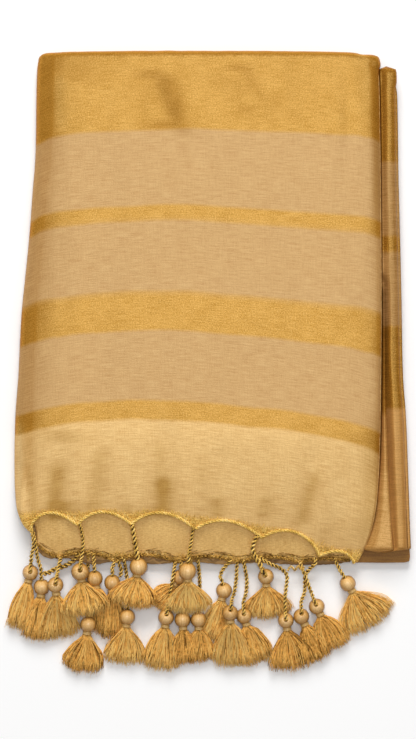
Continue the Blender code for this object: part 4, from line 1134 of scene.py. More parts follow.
def add_threads(name, threads, radius, material, sides=1):
    """Threads along lists of points, as one curve with a round section. A thread
    may be a pair of its points and its own share of the radius."""
    curve = bpy.data.curves.new(name, "CURVE")
    curve.dimensions = "3D"
    curve.bevel_depth = radius
    curve.bevel_resolution = sides
    curve.use_fill_caps = True
    for thread in threads:
        points, share = thread if isinstance(thread, tuple) else (thread, 1.0)
        spline = curve.splines.new("POLY")
        spline.points.add(len(points) - 1)
        for control, point in zip(spline.points, points):
            control.co = (*point, 1.0)
            control.radius = share
        spline.use_smooth = True
    curve.materials.append(material)
    piece = bpy.data.objects.new(name, curve)
    bpy.context.scene.collection.objects.link(piece)
    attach(piece, "root")
    return piece


binding_zari = zari("binding_gilt_thread", ZARI_GOLD, ZARI_SHADE)
# the under hem's binding is worn in places and darker all over: painted shade below the layer on top
worn_and_shaded_binding = zari("worn_binding_thread_in_painted_shade", "#e0ac52", "#442a0a", 0.62)
front_edge = [
    panel_place(i, PANEL_DOWN)[0] for i in range(SIDE_STEPS, SIDE_STEPS + TOP_STEPS + 1)
]
under_edge = [under_place(i, UNDER_DOWN)[0] for i in range(UNDER_ACROSS + 1)]
for name, edge, node, thread_look in (
    ("front_hem_binding", front_edge, "front_binding", binding_zari),
    ("under_hem_binding", under_edge, "under_binding", worn_and_shaded_binding),
):
    outer = []
    for k, point in enumerate(edge):
        side = (edge[min(k + 1, len(edge) - 1)] - edge[max(k - 1, 0)]).normalized()
        outer.append(point + Vector((side.y, -side.x, 0)).normalized() * BINDING_OUT)
    route = smooth_route(outer, THREAD_STEP)
    binding = add_threads(
        name, twisted(route, 3, BINDING_OFFSET, BINDING_TWIST, THREAD_STEP),
        BINDING_THREAD, thread_look)
    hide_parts(node)

# Selvedge of the pallu
# The pallu's right edge is woven of plain silk yarn and pressed to a thin line.
# It is drawn as a thread whose pale tones are partly a painted highlight.
SELVEDGE_ROWS = (76, 548)
SELVEDGE_STEPS = 150
SELVEDGE_LEVEL = 4.2            # of the steps of the right side's roll
SELVEDGE_THREAD = 0.2 * MM
SELVEDGE_LIFT = 0.1 * MM


def plain_yarn(name, fibres, tones, finish):
    """A yarn whose fibres show as fine changes of tone, so many to a metre: fewer
    than real ones, which are too fine to show."""
    material, shader = new_material(name)
    place = add_node(material, "TexCoord")["Object"]
    fibre = add_node(material, "TexNoise", {"Scale": fibres, "Detail": 2.0, "Vector": place})[0]
    set_node(shader, {"Base Color": add_node(material, "ValToRGB", {"Fac": fibre}, tones)[0], **finish})
    return material


# Twisted silk: fairly matt, in tones that change every 3 mm; its pale tones are partly a painted
# highlight
selvedge_highlight_silk = plain_yarn(
    "selvedge_highlight_silk", 300.0, [(0.35, "#b98a45"), (0.65, "#e6c07c")],
    {"Roughness": 0.55, "Specular IOR Level": 0.2})
selvedge_points = []
for step in range(SELVEDGE_STEPS + 1):
    line = between(SELVEDGE_ROWS, step / SELVEDGE_STEPS)
    x, z = side_point(line, SELVEDGE_LEVEL, 1)
    selvedge_points.append(Vector((x, row(line), z + SELVEDGE_LIFT)))
add_threads("selvedge_highlight_line", [selvedge_points], SELVEDGE_THREAD, selvedge_highlight_silk)

# Stitched borders
# Between the scallops' bound edge and their tops the silk is worked over with
# slanting gold stitches, thickest above each knot.
random.seed(7)
STITCH_THREAD = 0.16 * MM
STITCHES = 620
UNDER_STITCHES = 340
STITCH_LEAST = 1.6              # rows
STITCH_REACH = (0.30, 0.95)     # of the border's depth
STITCH_LEANS = (0.15, 0.7)      # columns to a row
HEM_CELL = 2.2                  # columns to a cell of the hem
for name, knots, put, count, down, deep in (
    ("front_border_stitches", HEM_KNOTS, panel_place, STITCHES, PANEL_DOWN, HEM_STEPS),
    ("under_border_stitches", UNDER_KNOTS, under_place, UNDER_STITCHES, UNDER_DOWN, UNDER_DOWN),
):
    first = SIDE_STEPS if put is panel_place else 0
    last = SIDE_STEPS + TOP_STEPS if put is panel_place else UNDER_ACROSS
    cells = list(range(first + 1, last))
    stitches = []
    for _ in range(count):
        i = random.choice(cells)
        edge_point = put(i, down)[0]
        border = stitched_from(knots, MIDDLE_COLUMN + edge_point.x / GRID)
        edge_row = MIDDLE_ROW - edge_point.y / GRID
        tall = max(edge_row - border, STITCH_LEAST) * random.uniform(*STITCH_REACH)
        lean = random.choice((-1, 1)) * random.uniform(*STITCH_LEANS) * tall
        other = min(max(i + round(lean / HEM_CELL), first), last)
        j = down
        while j > down - deep and edge_row - (MIDDLE_ROW - put(other, j)[0].y / GRID) < tall:
            j -= 1
        far_point = put(other, j)[0]
        lift = Vector((0, 0, random.uniform(0.10, 0.32) * MM))
        middle = (edge_point + far_point) / 2 + lift * 1.6
        stitches.append([edge_point + lift, middle, far_point + lift * 0.5])
    add_threads(name, stitches, STITCH_THREAD, binding_zari, 0)

# Turned hem below
# The layers next below are turned in under the scallops. Their dark folded edges
# show, with loose ends and loops of the gold thread.
TURNED_EDGE = (                 # column and row of the lowest edge
    (38, 552), (42, 556), (50, 559), (60, 558), (68, 559), (80, 562), (92, 565),
    (104, 563.5), (118, 561.5), (135, 562), (150, 564.6), (166, 564), (180, 562), (200, 563),
    (225, 565), (250, 563.5), (275, 564), (300, 565.5), (330, 565), (351, 562),
)
TURNED_ROWS = 15
TURNED_ACROSS = 210
TURNED_DOWN = 8
TURNED_DROP = 1.3 * MM
LOOPS = 110
LOOSE_ENDS = 70
LOOSE_THREAD = 0.15 * MM
FRAYED = 260
FRAYED_ROWS = (-5.0, 1.2)       # from the under hem's edge
FRAYED_SPAN = (3, 11)           # columns
FRAYED_LEAN = 1.3               # rows
FRAYED_END = 12                 # columns from the right end where the last one starts


def shares(steps):
    """0 to 1 in even steps."""
    return [k / steps for k in range(steps + 1)]


def turned_place(i, j):
    """Place and UV of a point of the turned layers."""
    col = between((TURNED_EDGE[0][0], TURNED_EDGE[-1][0]), i / TURNED_ACROSS)
    edge = read_table(TURNED_EDGE, col) + 0.8 * noise.noise(Vector((col / 3.5, 1.0, 5.0)))
    line = edge - TURNED_ROWS * (1 - j / TURNED_DOWN)
    z = cloth_height(col, line) - UNDER_DROP - TURNED_DROP
    z += 0.6 * MM * noise.noise(Vector((col / 6, line / 4, 2.0)))
    return Vector((column(col), row(line), z)), (column(col), line * GRID)


turned = sheet("turned_hem_layers", TURNED_ACROSS, TURNED_DOWN, turned_place, inner_cloth)
add_thickness(turned, SILK_THICKNESS)
random.seed(11)
loose = []
for _ in range(LOOPS):
    k = random.randrange(2, len(under_edge) - 12)
    ends = under_edge[k], under_edge[k + random.randrange(3, 10)]
    hang = random.uniform(0.6, 3.0) * MM
    loop = []
    for t in shares(8):
        point = ends[0].lerp(ends[1], t)
        point.y -= hang * 4 * t * (1 - t)
        point.z += (0.5 - 1.6 * t * (1 - t) * random.uniform(0.6, 1.4)) * MM
        loop.append(point)
    loose.append((loop, random.uniform(0.7, 1.5)))
for _ in range(LOOSE_ENDS):
    point = random.choice(front_edge + under_edge)
    heading = random.uniform(0, 2 * math.pi)
    bend = random.uniform(-1.6, 1.6)
    reach = random.uniform(1.2, 4.5) * MM
    end = []
    for t in shares(6):
        angle = heading + bend * t
        way = Vector((math.cos(angle), math.sin(angle), 0.12))
        end.append(point + way * reach * t + Vector((0, 0, 0.5 * MM)))
    loose.append((end, random.uniform(0.6, 1.1)))
worn_zari = zari("worn_gilt_thread", "#cf9b45", "#76501a")
add_threads("loose_hem_threads", loose, LOOSE_THREAD, worn_zari, 0)
frayed = []
for _ in range(FRAYED):
    start = random.uniform(TURNED_EDGE[0][0], TURNED_EDGE[-1][0] - FRAYED_END)
    wide = random.uniform(*FRAYED_SPAN)
    level = random.uniform(*FRAYED_ROWS)
    lean = random.gauss(0, FRAYED_LEAN)
    yarn = []
    for t in shares(7):
        col = start + wide * t
        line = scallop_row(UNDER_KNOTS, col) + level + lean * t
        z = cloth_height(col, line) - UNDER_DROP + random.uniform(0.1, 0.5) * MM
        yarn.append(Vector((column(col), row(line), z)))
    frayed.append((yarn, random.uniform(0.7, 1.5)))
frayed_yarn = zari("frayed_dark_yarn", "#9a6c28", "#33200a")
add_threads("frayed_hem_yarns", frayed, LOOSE_THREAD, frayed_yarn, 0)

# Cords
# Each tassel hangs on its own short cord of two gilt threads twisted round a
# dark core, looped through the bound edge and through the tassel's bead.
CORD_THREAD = 0.62 * MM
CORD_OFFSET = 1.02 * MM
CORD_CORE = 0.72 * MM
CORD_TWIST = 6.4 * MM
BRAID_SHARE = 1.35              # size of the two thicker cords
HEAD_RADIUS = 6.25 * MM
HEAD_GAP = 0.5 * MM
CORD_LEAD = 4.5 * MM            # from a bead to where a level cord turns in to its hole
CORD_SUNK = 1.6 * MM            # its end inside the bead
CORD_ARC = 20                   # degrees over a bead from one point of its cord to the next
HOLE_ON = 9                     # degrees on from the last of them to the hole
LARGE_HEADS = {"04": 1.12, "07": 1.12, "10": 1.10}
# Tassels: head (column, row, height of its middle in mm), middle of the skirt's
# end (column, row), its width in columns, height in mm of its lowest strands
# there, and the angles over the head, up from its back, where the cord lies on it
TASSELS = (
    ("01", 30, 573, 6.3, 18.5, 623, 20, 0.4, 35, 70),
    ("02", 41.5, 587.5, 6.3, 37, 634, 12, 0.4, 20, 20),
    ("03", 55.5, 585, 11.7, 59.5, 633, 32, 0.4, 10, 70),
    ("04", 80, 572, 10.2, 86, 612, 39, 8.0, 15, 65),
    ("05", 94.5, 579, 6.3, 102, 625, 8, 0.4, 20, 20),
    ("06", 112, 583, 6.3, 112, 632, 10, 0.4, 20, 20),
    ("07", 138.5, 567, 9.6, 132, 604, 38, 8.0, 20, 20),
    ("08", 88, 625, 6.3, 82, 668, 33, 0.4, 0, 0),
    ("09", 127, 617.5, 6.3, 123, 660, 34, 0.4, 0, 0),
    ("10", 187.5, 571, 15.9, 189, 610, 37, 8.0, 10, 10),
    ("11", 180.5, 578, 6.3, 159, 605, 16, 0.4, 0, 0),
    ("12", 166, 618, 6.3, 161, 665, 30, 0.4, 35, 50),
    ("13", 182.5, 620, 6.3, 185, 660, 14, 0.4, 0, 0),
    ("14", 198.5, 620, 6.3, 199.5, 658, 13, 0.4, 0, 0),
    ("15", 224, 591, 6.3, 214, 636, 19, 0.4, 30, 30),
    ("16", 230, 613, 11.4, 232, 661, 22, 0.4, 20, 50),
    ("17", 244, 616.5, 6.3, 256, 660, 23, 0.4, 30, 60),
    ("18", 266, 577, 7.5, 268, 615, 42, 1.4, 35, 65),
    ("19", 286, 621, 6.3, 293, 666, 38, 0.4, 35, 70),
    ("20", 301.5, 617, 6.3, 318, 656, 9, 0.4, 30, 50),
    ("21", 317, 607, 6.3, 334, 646, 21, 0.4, 35, 60),
    ("22", 348, 584, 6.3, 370.5, 624, 50, 0.4, 20, 20),
)
# Cords: name, the tassel that it runs on to, its size, and its route before that
# as column, row, height in mm
CORDS = (
    ("01", "01", 1.0, ((33.2, 533.9, 13.6), (33.5, 545, 12.2), (31.5, 556, 11.6))),
    ("02a", "02", 1.0,
     ((34.6, 534.8, 13.2), (35.6, 545, 13.6), (37.2, 557, 11.0), (40.6, 569, 10.2))),
    ("02b", "", 1.25,
     ((78, 557.7, 7.5), (71, 562.5, 5.0), (63, 567, 4.0), (55, 569.5, 5.0), (48.5, 573, 7.6),
      (42.6, 574, 10.0))),
    ("03", "03", 1.0, ((60, 560.9, 7.1), (58.6, 567, 9.8))),
    ("04", "04", 1.0, ((82, 527.9, 14.4), (83, 541, 12.0), (82, 553, 11.4))),
    ("05", "05", 1.0, ((93, 558.5, 7.9), (94, 563, 9.2))),
    ("06a", "06", 1.0, ((114, 564.8, 6.8), (112.3, 568, 8.2))),
    ("06b", "", 1.0, ((118.4, 563.9, 6.9), (121, 571, 5.4), (119.7, 577.3, 5.2))),
    ("07", "07", BRAID_SHARE, ((133, 527, 14.4), (134.5, 540, 13.0), (136.2, 550, 12.6))),
    ("08", "08", 1.0,
     ((87.5, 556.5, 7.6), (87.5, 563, 3.2), (87.6, 575, 1.5), (88.3, 595, 1.5), (89.4, 606, 4.2))),
    ("09", "09", 1.0,
     ((124, 562.8, 6.9), (125, 568, 3.4), (126.5, 578, 1.5), (127.8, 592, 1.5), (128, 599, 3.6))),
    ("10", "10", 1.0, ((192, 531.9, 13.9), (191, 543, 13.0), (189.4, 551, 14.6))),
    ("11", "", 1.0, ((181.3, 565.3, 6.4), (180.5, 569.6, 6.2))),
    ("12", "12", 1.0,
     ((175, 565.8, 6.9), (174, 571, 10.0), (172.4, 580, 12.0), (170, 592, 10.6), (168, 603, 10.4))),
    ("13", "", 1.0,
     ((191, 561.6, 7.2), (190.7, 568, 4.0), (190.5, 580, 1.5), (186, 597, 1.5), (182.6, 611.4, 4.6))),
    ("14", "", 1.0,
     ((198, 560.5, 7.3), (198.5, 568, 4.0), (199.5, 580, 1.5), (199.5, 597, 1.5),
      (198.6, 611.4, 4.6))),
    ("15", "15", 1.0, ((229, 564.1, 6.9), (223.5, 569, 7.2), (220.5, 576, 9.4))),
    ("16", "16", 1.0,
     ((236.5, 565.3, 6.9), (236.3, 580, 4.6), (234.5, 592, 7.4), (232, 600, 11.6))),
    ("17", "17", 1.0, ((244, 564.1, 7.0), (246.8, 580, 4.6), (246, 594, 5.4), (243.5, 602, 8.2))),
    ("18", "18", BRAID_SHARE,
     ((254, 541, 12.6), (252.5, 548, 11.8), (255, 556, 11.2), (259, 562.5, 11.4))),
    ("19", "19", 1.0,
     ((261.8, 560.9, 10.8), (272, 565, 9.2), (281, 569, 8.4), (287, 576, 9.0), (285.8, 590, 11.2),
      (284.8, 603, 11.2))),
    ("20", "20", 1.0,
     ((316, 560.1, 9.6), (315, 564, 9.6), (310, 569, 6.8), (305.5, 577, 4.4), (305, 592, 4.2),
      (301.5, 602, 7.4))),
    ("21", "21", 1.0,
     ((300.5, 565.9, 6.7), (304.5, 574, 7.9), (308.5, 585, 6.6), (311.6, 593, 8.4))),
    ("22", "22", 1.0, ((336, 563.1, 6.9), (339.5, 569, 8.2))),
)
# Small loops of a spare end, between the cords of tassels 19 and 20
LINK = (
    (287.5, 571, 9.6), (291, 566.5, 10.4), (295, 570.5, 9.6), (298, 566.5, 9.2), (301.5, 570, 8.4),
    (304.5, 567, 7.6),
)
LINK_OFFSET = 0.6 * MM
LINK_THREAD = 0.42 * MM
LINK_TWIST = 4.4 * MM


def at_point(col, line, height):
    """Point at a column and row, at a height in mm."""
    return Vector((column(col), row(line), height * MM))


def tilted(level, degrees):
    """A level direction turned up by an angle."""
    tilt = math.radians(degrees)
    return level * math.cos(tilt) + Vector((0, 0, math.sin(tilt)))


cord_zari = zari("cord_gilt_thread", "#ffd068", "#5e3a0a", 0.55)
# Dull cotton, near black, matt: a dark core, and painted shade in the gaps between the gilt threads, so
# that they stand out from it
core_yarn_in_painted_shade = plain_yarn(
    "cord_dark_core_in_painted_shade", 1400.0, [(0.0, "#170e03"), (1.0, "#3f290a")], {"Roughness": 0.8})

heads = {spec[0]: spec[1:] for spec in TASSELS}
hole_ways = {}                  # from each head's middle to the hole in its bead
for name, tassel, size, stops in CORDS:
    points = [at_point(*stop) for stop in stops]
    knot = min(front_edge + under_edge, key=lambda p: (p - points[0]).length)
    points[0] = points[0].lerp(knot, 0.4)
    points.insert(0, knot + Vector((0, 0, 0.5 * MM)))
    owner = tassel or name
    if owner in heads:
        c, r, height, *_, first, last = heads[owner]
        level = first == last
        centre = at_point(c, r, height)
        back = Vector((points[-1].x - centre.x, points[-1].y - centre.y, 0)).normalized()
        bead_radius = HEAD_RADIUS * LARGE_HEADS.get(owner, 1.0)
        if tassel:
            steps = max(1, round((last - first) / CORD_ARC))
            for k in range(steps + 1):
                away = (CORD_OFFSET + CORD_THREAD) * size + HEAD_GAP * 0.5
                if level:
                    away = HEAD_GAP if k else CORD_LEAD
                way = tilted(back, between((first, last), k / steps))
                points.append(centre + way * (bead_radius + away))
        hole_ways[owner] = tilted(back, last + (0 if level else HOLE_ON))
        points.append(centre + hole_ways[owner] * (bead_radius - CORD_SUNK))
    route = smooth_route(points, THREAD_STEP)
    turn = 2.0 * sum(ord(letter) for letter in name)
    plies = twisted(route, 2, CORD_OFFSET * size, CORD_TWIST * math.sqrt(size), THREAD_STEP, turn)
    cord = add_threads("gilt_cord_" + name, plies, CORD_THREAD * size, cord_zari)
    add_threads("cord_core_" + name, [route[::2] + [route[-1]]], CORD_CORE * size, core_yarn_in_painted_shade)
    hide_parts("cord_" + name)
link = smooth_route([at_point(*stop) for stop in LINK], THREAD_STEP)
add_threads(
    "gilt_link", twisted(link, 2, LINK_OFFSET, LINK_TWIST, THREAD_STEP), LINK_THREAD, cord_zari)

# Tassel heads
# A round bead wound over with fine silky thread, from a hole where its cord
# goes in to the neck, which is bound with a few turns of shiny thread.
WRAP_THREADS = 58
WRAP_RELIEF = 0.004
WRAP_TONES = (0.50, 0.72)       # of one turn of thread beside another
WRAP_SHADE = 0.84               # painted shade in the groove between two turns: what it leaves of the tone
FLATTER = 0.02                  # share by which the bead is narrower round its middle
BEAD_RINGS = 20
HOLE_RADIUS = 1.7 * MM
HOLE_DEPTH = 2.8 * MM
# Beads that lie under other tassels' skirts, darkened by these shares: painted shadow
BEADS_IN_PAINTED_SHADOW = {"05": 0.82, "06": 0.82, "08": 0.82, "09": 0.9, "11": 0.85, "13": 0.82, "14": 0.85,
              "16": 0.78, "17": 0.88, "20": 0.85}
NECK_RADIUS = 3.0 * MM
NECK_TURNS = 4
NECK_CORNERS = 14               # points to a turn
NECK_PITCH = 0.55 * MM
NECK_THREAD = 0.42 * MM
NECK_LENGTH = 2.6 * MM
ROOT_DROP = 0.6 * MM

# Floss silk, wound close: glossy, each turn a little lighter or darker, in tones that
# change about every 1 mm along it
wrap_silk, shader = new_material("bead_wrapping_silk")
tone_of = add_node(wrap_silk, "Attribute", {"attribute_name": "tone"})["Fac"]
place = add_node(wrap_silk, "TexCoord")["Object"]
fibre = add_node(wrap_silk, "TexNoise", {"Scale": 900.0, "Detail": 2.0, "Vector": place})[0]
mixed = add_node(
    wrap_silk, "Math", {"operation": "MULTIPLY_ADD", 0: fibre, 1: 0.35, 2: tone_of})[0]
# painted shade: the wound silk is darker where the bead turns away from straight up
normal = add_node(wrap_silk, "NewGeometry")["Normal"]
facing = add_node(wrap_silk, "SeparateXYZ", {"Vector": normal})["Z"]
painted_side_shade = add_node(wrap_silk, "MapRange", {
    "From Min": 0.25, "From Max": 0.95, "To Min": 0.38, "Value": facing})[0]
rounded = add_node(wrap_silk, "Math", {"operation": "MULTIPLY", 0: mixed, 1: painted_side_shade})[0]
tone = add_node(
    wrap_silk, "ValToRGB", {"Fac": rounded}, [(0.1, "#4d3311"), (0.45, "#c48e43"), (0.9, "#fbd18e")])[0]
set_node(shader, {"Base Color": tone, "Roughness": 0.32, "Specular IOR Level": 0.9})
# Shiny thread, wound tight: bright, with thin highlights
neck_silk = plain_yarn(
    "neck_shiny_thread", 1300.0, [(0.0, "#b07c2c"), (1.0, "#f3cf86")],
    {"Roughness": 0.26, "Specular IOR Level": 0.9})

tassel_frames = {}
random.seed(21)
for name, c, r, height, end_c, end_r, *_ in TASSELS:
    centre = at_point(c, r, height)
    end = at_point(end_c, end_r, 0)
    heading = math.atan2(end.y - centre.y, end.x - centre.x) - math.pi / 2
    frame_matrix = Matrix.Translation(centre) @ Matrix.Rotation(heading, 4, "Z")
    tassel_frames[name] = frame_matrix
    bm = bmesh.new()
    tone_layer = bm.verts.layers.float.new("tone")
    bmesh.ops.create_uvsphere(
        bm, u_segments=2 * WRAP_THREADS, v_segments=BEAD_RINGS, radius=HEAD_RADIUS)
    painted_shadow = BEADS_IN_PAINTED_SHADOW.get(name, 1.0)
    thread_tones = [random.uniform(*WRAP_TONES) * painted_shadow for _ in range(WRAP_THREADS)]
    for vert in bm.verts:
        polar = math.acos(max(min(vert.co.z / HEAD_RADIUS, 1), -1))
        turn = math.atan2(vert.co.y, vert.co.x) / (2 * math.pi) * 2 * WRAP_THREADS
        k = round(turn) % (2 * WRAP_THREADS)
        ridge = 1 if k % 2 == 0 else -1
        vert.co *= 1 + WRAP_RELIEF * ridge * math.sin(polar) - FLATTER * math.sin(polar) ** 8
        vert[tone_layer] = thread_tones[k // 2] * (1.0 if ridge > 0 else WRAP_SHADE)
        out = math.hypot(vert.co.x, vert.co.y)
        if vert.co.z > 0 and out < HOLE_RADIUS:
            sunk = 1 - (out / HOLE_RADIUS) ** 2
            vert.co.z -= HOLE_DEPTH * sunk
            # painted shade: the hole is darkened nearly to black
            vert[tone_layer] *= 1 - 0.98 * sunk
    hole_way = hole_ways[name].to_track_quat("Z", "Y").to_matrix().to_4x4()
    bm.transform(Matrix.Scale(LARGE_HEADS.get(name, 1.0), 4))
    bm.transform(Matrix.Translation(centre) @ hole_way)
    bead = finish_mesh(bm, "tassel_bead_" + name, wrap_silk)
    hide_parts("tassel_" + name)
    turns = []
    for k in range(NECK_TURNS * NECK_CORNERS + 1):
        angle = 2 * math.pi * k / NECK_CORNERS
        along = HEAD_RADIUS - 0.5 * MM + NECK_PITCH * k / NECK_CORNERS
        low = NECK_RADIUS * math.sin(angle) - ROOT_DROP * 0.5
        turns.append(frame_matrix @ Vector((NECK_RADIUS * math.cos(angle), along, low)))
    neck = add_threads("tassel_neck_" + name, [turns], NECK_THREAD, neck_silk)

# Tassel skirts
# Cut lengths of soft cotton thread, tied at the neck, that fan out in clumps and
# fray at their ends.
STRANDS = 320
FRAYS = 150
HAIRS = 14
BODY_STRANDS = 36
# Skirts that lie under their neighbours are wider than their knots leave room for
UNDER_WIDTHS = {
    "02": 25, "05": 23, "06": 24, "11": 22, "13": 24, "14": 24, "15": 27, "16": 30, "17": 30,
    "20": 21, "21": 29,
}
FULLER = 1.12                   # soft skirts spread past their middle strands
WIDEST = 1.12                   # of half the width
ROUNDED_END = 0.38              # 0.5 would be an arc round the neck
LONGER = 1.08                   # the longest strands to the middle ones
STRAND_CELLS = 6
STRAND_RADIUS = 0.28 * MM
HAIR_RADIUS = 0.07 * MM
FRAY_RADIUS = 0.12 * MM
BODY_RADIUS = 0.95 * MM
WIDE_SKIRT = 13 * MM            # half width past which a skirt opens from its neck at once
ROUND_SHARES = (0.1, 0.55)      # how rounded the fan is, for a wide skirt and a narrow one
ROOT_INSIDE = 1.2 * MM          # how far in the strands start
CLUMPS_ACROSS = 12
CLUMP_LAYERS = 3
LAYER_PITCH = 2.0 * MM
BODY_REACH = 0.88               # of the skirt's length
FRAY_FROM = 0.82                # share of the length where a fray starts
LOWEST = 0.12 * MM              # above the table top
TIP_FROM = 0.75                 # share of the length where a tip starts
TIP_STRAY = 0.5 * MM
TIP_THINNER = 0.55
ROOT_THINNER = 0.45
FULL_TURN = 6.28                # radians
# Tones of the strands, from the darkest at 0: a few are dark, painted shade that stands for the gaps
# between strands
DARK_SHARE = 0.07
BRIGHT_TONES = (0.52, 1.0)
DARK_TONES = (0, 0.25)
# the thick body strands inside a skirt are dark: painted shade seen through the gaps
BODY_PAINTED_SHADE_TONE = 0.26
HAIR_TONE = 0.7
CLUMP_SHADE = 2.0               # how much darker, for its side in widths, a clump's edge is
# Each skirt's tone beside the others': some are lighter, some darker
SKIRT_TONES = {
    "02": -0.22, "03": 0.25, "05": -0.30, "06": -0.36, "07": -0.14, "08": -0.26, "09": 0.06,
    "10": 0.30, "11": -0.08, "13": -0.38, "14": -0.28, "15": 0.15, "16": 0.15, "17": -0.14,
    "19": -0.30, "20": -0.34, "21": -0.24,
}

# Soft cotton, cut and combed out: matt, with a faint bloom, in tones that change about
# every 1 mm, and every 2 mm where the strands tangle
skirt_cotton, shader = new_material("skirt_cotton_thread")
tone_of = add_node(skirt_cotton, "Attribute", {"attribute_name": "tone"})["Fac"]
place = add_node(skirt_cotton, "TexCoord")["Object"]
fibre = add_node(skirt_cotton, "TexNoise", {"Scale": 1100.0, "Detail": 2.0, "Vector": place})[0]
mixed = add_node(
    skirt_cotton, "Math", {"operation": "MULTIPLY_ADD", 0: fibre, 1: 0.25, 2: tone_of})[0]
tangle = add_node(skirt_cotton, "TexNoise", {"Scale": 420.0, "Detail": 2.0, "Vector": place})[0]
broken = add_node(
    skirt_cotton, "Math", {"operation": "MULTIPLY_ADD", 0: tangle, 1: 0.65, 2: mixed})[0]
spun = add_node(skirt_cotton, "Math", {"operation": "MULTIPLY", 0: broken, 1: 0.60})[0]
tone = add_node(
    skirt_cotton, "ValToRGB", {"Fac": spun},
    [(0.28, "#643d0d"), (0.42, "#e5a852"), (0.56, "#fec466"), (0.85, "#ffd680")])[0]
set_node(shader, {
    "Base Color": tone, "Roughness": 0.6, "Specular IOR Level": 0.25, "Specular Tint": "#d9a450",
    "Sheen Weight": 0.12, "Sheen Tint": "#ffcf7a"})

strand = bmesh.new()
bmesh.ops.create_circle(
    strand, cap_ends=True, segments=3, radius=1.0, matrix=Matrix.Rotation(math.radians(60), 4, "Z"))
tip = strand.faces[:][0]
for cell in range(STRAND_CELLS):
    grown = bmesh.ops.extrude_face_region(strand, geom=[tip], use_keep_orig=cell == 0)
    if cell:
        bmesh.ops.delete(strand, geom=[tip], context="FACES_ONLY")
    tip = next(item for item in grown["geom"] if isinstance(item, bmesh.types.BMFace))
    bmesh.ops.translate(strand, verts=tip.verts, vec=(0, 0, 1))
bmesh.ops.recalc_face_normals(strand, faces=strand.faces)
strand_mesh = bpy.data.meshes.new("strand")
strand.to_mesh(strand_mesh)
strand_corners = len(strand.verts)
strand.free()

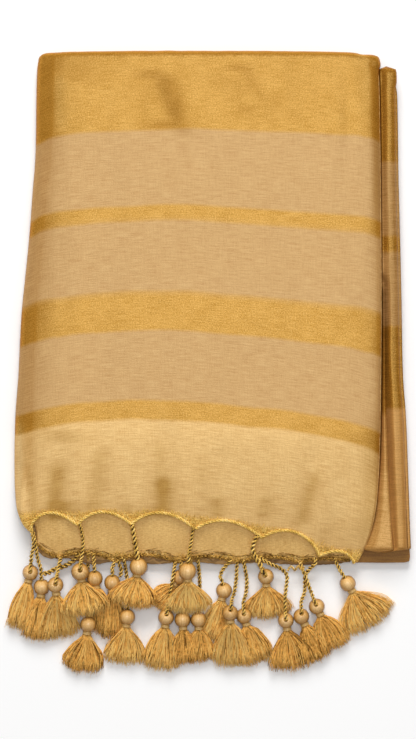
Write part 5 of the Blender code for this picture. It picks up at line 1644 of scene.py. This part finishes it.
random.seed(33)
for name, c, r, height, end_c, end_r, end_width, end_low, *_ in TASSELS:
    start = at_point(c, r, height)
    end = at_point(end_c, end_r, 0)
    length = (end - start).xy.length
    half = UNDER_WIDTHS.get(name, end_width) * GRID / 2 * FULLER
    root_at = HEAD_RADIUS + NECK_LENGTH - ROOT_INSIDE
    clumps = []
    for layer in range(CLUMP_LAYERS):
        for k in range(CLUMPS_ACROSS):
            side = (k + 0.5 + 0.25 * (layer - 1)) / CLUMPS_ACROSS * 2 - 1
            side += random.uniform(-0.09, 0.09)
            low = end_low * MM - height * MM + (layer + 0.35) * LAYER_PITCH
            # each clump's tone is random, and darker on the lower layers: painted shade
            clumps.append((side, low + random.uniform(-0.4, 0.4) * MM,
                           random.uniform(0.92, 1.03), random.uniform(-0.07, 0.07) + 0.05 * layer))
    # each strand: its angle and distance from the neck's middle, the place of its end,
    # its radius and tone, the size, phase and number of its waves, the share of the
    # length where it starts, and how far it crosses over others
    strands = []
    for k in range(BODY_STRANDS + STRANDS + FRAYS + HAIRS):
        side, low, reach, shade = clumps[k % len(clumps)]
        theta = random.uniform(0, 2 * math.pi)
        root = random.uniform(0.3, 1.0) * NECK_RADIUS
        spread = random.gauss(0, 0.07)
        first = 0.0
        radius = STRAND_RADIUS * random.uniform(0.8, 1.15)
        tones = BRIGHT_TONES if random.random() > DARK_SHARE else DARK_TONES
        shine = random.uniform(*tones) + shade - CLUMP_SHADE * abs(spread)
        shine += SKIRT_TONES.get(name, 0.0)
        reach *= random.uniform(0.95, 1.03)
        lift = random.gauss(0, 0.35) * MM
        wave = random.uniform(0.2, 1.0) * MM
        if k < BODY_STRANDS:
            radius, shine, reach, lift = BODY_RADIUS, BODY_PAINTED_SHADE_TONE, BODY_REACH, 0.0
        elif k >= BODY_STRANDS + STRANDS + FRAYS:
            radius, shine, reach = HAIR_RADIUS, HAIR_TONE, random.uniform(0.9, 1.12)
            spread = random.gauss(0, 0.3)
            wave = random.uniform(0.8, 2.2) * MM
        elif k >= BODY_STRANDS + STRANDS:
            radius, first, spread = FRAY_RADIUS, FRAY_FROM, random.gauss(0, 0.09)
            reach *= random.uniform(0.98, 1.07)
            wave = random.uniform(0.3, 1.0) * MM
        x1 = min(max(side + spread * 2, -WIDEST), WIDEST) * half
        bow = 1.03 - ROUNDED_END * (x1 / length) ** 2
        phase = random.uniform(0, FULL_TURN)
        waves = random.uniform(0.8, 1.7)
        cross = random.gauss(0, 0.045) * half
        strands.append((theta, root, x1, low + lift, length * reach * bow * LONGER, radius, shine,
                        wave, phase, waves, first, cross))
    bm = bmesh.new()
    tone_layer = bm.verts.layers.float.new("tone")
    for _ in strands:
        bm.from_mesh(strand_mesh)
    lowest = LOWEST - height * MM
    round_share = ROUND_SHARES[0] if half > WIDE_SKIRT else ROUND_SHARES[1]
    for index, vert in enumerate(bm.verts):
        theta, root, x1, z1, far, radius, shine, wave, phase, waves, first, cross = (
            strands[index // strand_corners])
        t = between((first, 1.0), vert.co.z / STRAND_CELLS)
        fan = between((math.sin(t * math.pi / 2), math.sqrt(1 - (1 - t) ** 2)), round_share)
        tip = max(t - TIP_FROM, 0) / (1 - TIP_FROM)
        angle = waves * FULL_TURN * t + phase
        x = between((root * math.cos(theta), x1), fan) + wave * t * math.sin(angle)
        x += cross * math.sin(t * math.pi) + TIP_STRAY * tip * math.sin(phase * 7)
        z = between((root * math.sin(theta) - ROOT_DROP, z1), smooth_step(t**0.8))
        z += 0.6 * wave * t * math.cos(angle)
        thick = radius * (1 - ROOT_THINNER * (1 - min(t * 5, 1))) * (1 - TIP_THINNER * tip)
        z = max(z, lowest + thick)
        # painted shade: strands are darker towards the neck, under the bead
        vert[tone_layer] = shine * (0.86 + 0.14 * min(t * 3, 1))
        vert.co = (x + vert.co.x * thick, between((root_at, far), t), z + vert.co.y * thick)
    bm.transform(tassel_frames[name])
    bmesh.ops.recalc_face_normals(bm, faces=bm.faces)
    skirt = finish_mesh(bm, "tassel_skirt_" + name, skirt_cotton)
    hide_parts("tassel_" + name)
